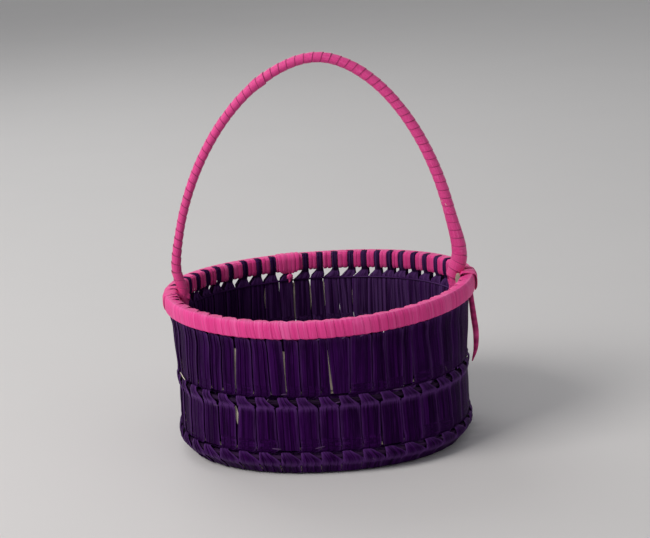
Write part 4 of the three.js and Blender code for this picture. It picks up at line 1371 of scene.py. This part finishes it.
class BASKET_OT_lashings(BasketPiece, bpy.types.Operator):
    """Ties both feet of the handle to the rim and hangs the rolled tip of the right lashing"""

    bl_idname = "basket.lashings"
    bl_label = "Lashings"

    def make(self, context):
        left = MeshParts()
        points = lash_points(RIM_AROUND / 2, -RIM_LENGTH / 2 - LEFT_FOOT_X, 3.0, 0.0)
        left.leaf(laid_rows(points, 1.8, flat_nature(0.15, 0.0, 31.0)), LASHING_LEAF, -1, 1.6, 0.3)
        self.turns(left, RIM_AROUND / 2, ((2.2, 1.6), (5.4, 2.2), (-1.8, -1.4), (8.4, 2.6)))
        left.build(context, "lashing_leaf_left", "leaf_pink", "lashing_left")

        right = MeshParts()
        points = lash_points(0.0, RIGHT_FOOT_X - RIM_LENGTH / 2, 3.2, 1.0)
        right.leaf(laid_rows(points, 1.8, flat_nature(0.15, 0.0, 37.0)), LASHING_LEAF, -1, 1.6, 0.3)
        self.turns(right, 0.0, ((-3.2, -2.4), (-0.2, -1.8), (3.0, 1.6), (-6.2, -2.6)), 1.0)
        self.rolled_tip(right)
        right.build(context, "lashing_leaf_right", "leaf_pink", "lashing_right")
        self.packing(context)

    def turns(self, parts, end, places, bulge=0.0):
        """Slanting turns over the rim whose ends are tucked in behind the leg"""
        for number, (way, lean) in enumerate(places):
            points = placed(end, over_rim(way, lean, RIM_OUTSIDE + 1.0 + bulge + 0.35 * (number % 2)))
            leaf = flat_nature(0.2, 0.1, 71.0 + 3 * number)
            parts.leaf(laid_rows(points, 1.75, leaf), LASHING_LEAF, -1, 1.4, 0.45)

    def rolled_tip(self, parts):
        """A leaf rolled into a slim cone that hangs outside the rim's right end"""
        way = -0.5 * UPPER_PITCH
        normal, side = wall_axes(way)
        outside = RIM_OUTSIDE + 0.7 + SEAT
        shape = np.array([
            [-0.06, -3.2, 0.0, 1.4],
            [0.16, -2.6, 0.2, 1.8],
            [0.42, -1.5, 0.6, 2.0],
            [0.68, -0.4, 1.2, 2.0],
            [0.94, -0.9, 2.6, 1.5],
            [1.13, -3.2, 3.6, 0.5],
        ])
        rows = np.zeros((len(shape), ROW_LENGTH))
        for i, (part, away, forward, radius) in enumerate(shape):
            at = wall_place(way, outside + away, RIM_BOTTOM - SEAT) - side * forward
            rows[i, :3] = rows[i, 3:6] = at - np.array([0, 0, TIP_LENGTH * part])
            rows[i, CROWN] = radius
        path = smooth_rows(rows, 1.5)
        centre, radius = path[:, :3], path[:, CROWN]
        turn = np.linspace(0, 2.3 * math.pi, 22)
        outer = 1 - 0.22 * (1 - turn / turn[-1])
        section = np.concatenate([np.stack([turn, outer], -1), np.stack([turn, outer - 0.16], -1)[::-1]])
        twist = np.linspace(0, 0.9, len(centre))[:, None] + 2.2
        angles = section[None, :, 0] + twist
        reach = section[None, :, 1] * radius[:, None]
        rings = centre[:, None] + normal * (np.cos(angles) * reach)[..., None]
        rings = rings + side * (np.sin(angles) * reach)[..., None]
        along = lengths_along(centre)
        places = grain_places(section[None, :, 0] * 1.6, along, 41.0)
        # Painted shade over the rolled tip, with lighter edges, banding along it and a light band about 30
        # mm along
        edges = np.isin(np.arange(len(section)), (0, 21, 22, 43))
        tones = np.where(edges, 0.25, -0.45)[None, :] * np.ones((len(centre), 1))
        tones = tones - 0.25 * np.sin(along * 1.3)[:, None] + 0.9 * (np.abs(along - 30.0) < 1.6)[:, None]
        parts.loft(rings, places, tones)

    def packing(self, context):
        """A natural splint wedged beside the right foot"""
        way = -(HANDLE_THICK / 2 + SEAT + 0.8)
        normal, side = wall_axes(way)
        rows = []
        for z, half, drift in ((92.0, 1.3, 0.0), (94.8, 1.6, 0.0), (97.5, 1.6, -0.2), (99.6, 0.9, -0.3)):
            at = wall_place(way, LEG_FACE - 0.6, z) + side * (drift - 1.0)
            rows.append(edge_row(at - normal * half, at + normal * half, flat_nature(0.1, 0.0, 43.0), 0.2))
        parts = MeshParts()
        parts.leaf(rows, 1.2, 1, 1.5, 0.2)
        parts.build(context, "packing_splint_leaf", "leaf_natural", "packing_splint")


class BASKET_OT_rim_patch(BasketPiece, bpy.types.Operator):
    """Lays the broad frayed strip over the back of the rim and ties its knot"""

    bl_idname = "basket.rim_patch"
    bl_label = "Rim Patch"

    def make(self, context):
        way = PATCH_STITCH * UPPER_PITCH
        parts = MeshParts()
        edges = ((-7.4, -4.4), (-4.5, -1.9), (-2.0, 1.6), (1.5, 4.7), (4.6, 7.5))
        for number, (left, right) in enumerate(edges):
            leaf = flat_nature(0.2, 0.18 * stray(131, number), 47.0 + 9 * number)
            lift = 0.12 * (number % 2)
            drop = 0.7 * stray(132, number)
            shape = (
                (1.0, 2.2, RIM_TOP - 0.1 + lift, 0.2),
                (1.0, -3.6, RIM_TOP + 0.1 + lift, 0.0),
                (1.0, LEG_FACE - lift + 0.2, RIM_TOP - 1.2, 0.0),
                (0.98, LEG_FACE - lift - 0.2, 94.1, 0.0),
                (0.92, LEG_FACE - lift, RIM_BOTTOM + 1.2 + drop, 0.0),
                (0.7, LEG_FACE + 0.6, RIM_BOTTOM - 0.2 + drop, 0.3),
            )
            rows = []
            for part, away, z, tone in shape:
                rows.append(wall_row(way + left * part, way + right * part, away, z, leaf, tone))
            parts.leaf(rows, LASHING_LEAF, 1, 1.8, 0.45)
        self.knot(parts, way)
        parts.build(context, "rim_patch_leaf", "leaf_pink", "rim_patch")

    def knot(self, parts, way):
        """Two crossing turns and a short tail below the patch"""
        normal, side = wall_axes(way)
        centre = wall_place(way, LEG_FACE - 0.4, RIM_BOTTOM - 3.0)
        for number, tilt in enumerate((0.5, -0.6)):
            angles = np.linspace(0, 2 * math.pi, 17)[:-1]
            bar = unit(side * math.cos(tilt) + UP * math.sin(tilt))
            rise = np.cross(normal, bar)
            at = centre + np.outer(np.cos(angles), rise) * 1.7 - np.outer(np.sin(angles), normal) * 0.75
            parts.rod(at, bar, unit(at - centre), 1.5, 0.42, 8, 61 + number, True)
        tail = np.linspace(0, 1, 7)[:, None]
        at = centre + np.array([0, 0, -1.0]) * (1.0 + 2.6 * tail) + side * (0.8 * tail**2)
        half = (1.4 - 1.1 * tail[:, 0]) * 0.9
        leaf = flat_nature(0.1, 0.0, 67.0)
        rows = [edge_row(p - side * h, p + side * h, leaf, 0.2) for p, h in zip(at, half)]
        parts.leaf(rows, 0.5, 1, 2.0, 0.4)


class BASKET_OT_stage(bpy.types.Operator):
    """Adds the pale floor, the soft lamps and the camera"""

    bl_idname = "basket.stage"
    bl_label = "Stage"
    bl_options = {"REGISTER", "UNDO"}

    def execute(self, context):
        colours = context.scene.basket_colours
        self.floor(context, tuple(colours.floor))
        self.world(context)
        self.lamp(context, "key_lamp", (-1.2, -0.72, 1.25), 0.9, 22.0, (1.0, 0.97, 0.95))
        self.lamp(context, "fill_lamp", (1.25, -0.9, 0.75), 1.1, 0.6, (0.95, 0.95, 1.0))
        self.lamp(context, "back_lamp", (-0.5, 1.1, 1.2), 0.9, 5.0, (1.0, 1.0, 1.0))
        self.camera(context)
        context.scene.view_settings.view_transform = "Standard"
        return {"FINISHED"}

    def floor(self, context, colour):
        mesh = bpy.data.meshes.new("studio_floor")
        reach = 6.0
        corners = [(-reach, -reach, 0), (reach, -reach, 0), (reach, reach, 0), (-reach, reach, 0)]
        mesh.from_pydata(corners, [], [(0, 1, 2, 3)])
        mesh.materials.append(stage_finish("studio_floor_matt", colour))
        floor = bpy.data.objects.new("studio_floor", mesh)
        context.scene.collection.objects.link(floor)

    def world(self, context):
        """Soft even light; the backdrop seen by the camera and in glossy leaf is pale"""
        world = bpy.data.worlds.new("studio_air")
        context.scene.world = world
        world.use_nodes = True
        tree = world.node_tree
        tree.nodes.clear()
        light = wire(tree, "ShaderNodeBackground", {"Color": (0.95, 0.96, 1.0, 1), "Strength": 0.30})
        seen = wire(tree, "ShaderNodeBackground", {"Color": (0.80, 0.79, 0.78, 1), "Strength": 1.0})
        path = wire(tree, "ShaderNodeLightPath")
        shown = path.outputs["Is Camera Ray"]
        for ray in ("Is Glossy Ray", "Is Transmission Ray"):
            shown = maths(tree, "MAXIMUM", shown, path.outputs[ray])
        both = wire(tree, "ShaderNodeMixShader", {0: shown, 1: light.outputs[0], 2: seen.outputs[0]})
        wire(tree, "ShaderNodeOutputWorld", {"Surface": both.outputs[0]})

    def lamp(self, context, name, place, size, power, colour):
        data = bpy.data.lights.new(name, "AREA")
        data.shape = "SQUARE"
        data.size = size
        data.energy = power
        data.color = colour
        lamp = bpy.data.objects.new(name, data)
        lamp.location = place
        aim = Vector((0.0, 0.0, 0.09)) - Vector(place)
        lamp.rotation_euler = aim.to_track_quat("-Z", "Y").to_euler()
        context.scene.collection.objects.link(lamp)

    def camera(self, context):
        """Stands in front and a little above, rolled as the photograph is"""
        elevation, roll = math.radians(CAMERA_ABOVE), math.radians(CAMERA_ROLL)
        back = Vector((0.0, -math.cos(elevation), math.sin(elevation)))
        right = Vector((1.0, 0.0, 0.0))
        up = back.cross(right)
        turned = right * math.cos(roll) + up * math.sin(roll)
        upright = up * math.cos(roll) - right * math.sin(roll)
        eye = Vector(CAMERA_AIM) + back * CAMERA_AWAY
        data = bpy.data.cameras.new("front_camera")
        data.sensor_width = SENSOR_WIDTH
        data.lens = FOCAL_LENGTH * SENSOR_WIDTH / PICTURE_WIDTH
        data.clip_end = 50.0
        camera = bpy.data.objects.new("front_camera", data)
        axes = Matrix((turned, upright, back)).transposed().to_4x4()
        camera.matrix_world = Matrix.Translation(eye) @ axes
        context.scene.collection.objects.link(camera)
        context.scene.camera = camera


class BASKET_PT_panel(bpy.types.Panel):
    """Lists the basket's sizes, colours and building steps"""

    bl_label = "Palm Leaf Basket"
    bl_idname = "BASKET_PT_panel"
    bl_space_type = "VIEW_3D"
    bl_region_type = "UI"
    bl_category = "Basket"

    def draw(self, context):
        layout = self.layout
        layout.use_property_split = True
        scene = context.scene
        for heading, group in (("Sizes", scene.basket_sizes), ("Colours", scene.basket_colours)):
            box = layout.box()
            box.label(text=heading)
            for name in group.__annotations__:
                box.prop(group, name)
        column = layout.column(align=True)
        for step in STEPS:
            column.operator(step.bl_idname)


STEPS = (
    BASKET_OT_hoops,
    BASKET_OT_upper_wall,
    BASKET_OT_lower_wall,
    BASKET_OT_base,
    BASKET_OT_stakes,
    BASKET_OT_leaf_ends,
    BASKET_OT_rim_binding,
    BASKET_OT_handle,
    BASKET_OT_lashings,
    BASKET_OT_rim_patch,
    BASKET_OT_stage,
)
CLASSES = (BasketSizes, BasketColours, *STEPS, BASKET_PT_panel)


def register():
    for cls in CLASSES:
        bpy.utils.register_class(cls)
    bpy.types.Scene.basket_sizes = bpy.props.PointerProperty(type=BasketSizes)
    bpy.types.Scene.basket_colours = bpy.props.PointerProperty(type=BasketColours)


def unregister():
    del bpy.types.Scene.basket_colours
    del bpy.types.Scene.basket_sizes
    for cls in reversed(CLASSES):
        bpy.utils.unregister_class(cls)


def main():
    """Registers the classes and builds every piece"""
    register()
    for step in STEPS:
        group, name = step.bl_idname.split(".")
        getattr(getattr(bpy.ops, group), name)()


if __name__ == "__main__":
    main()
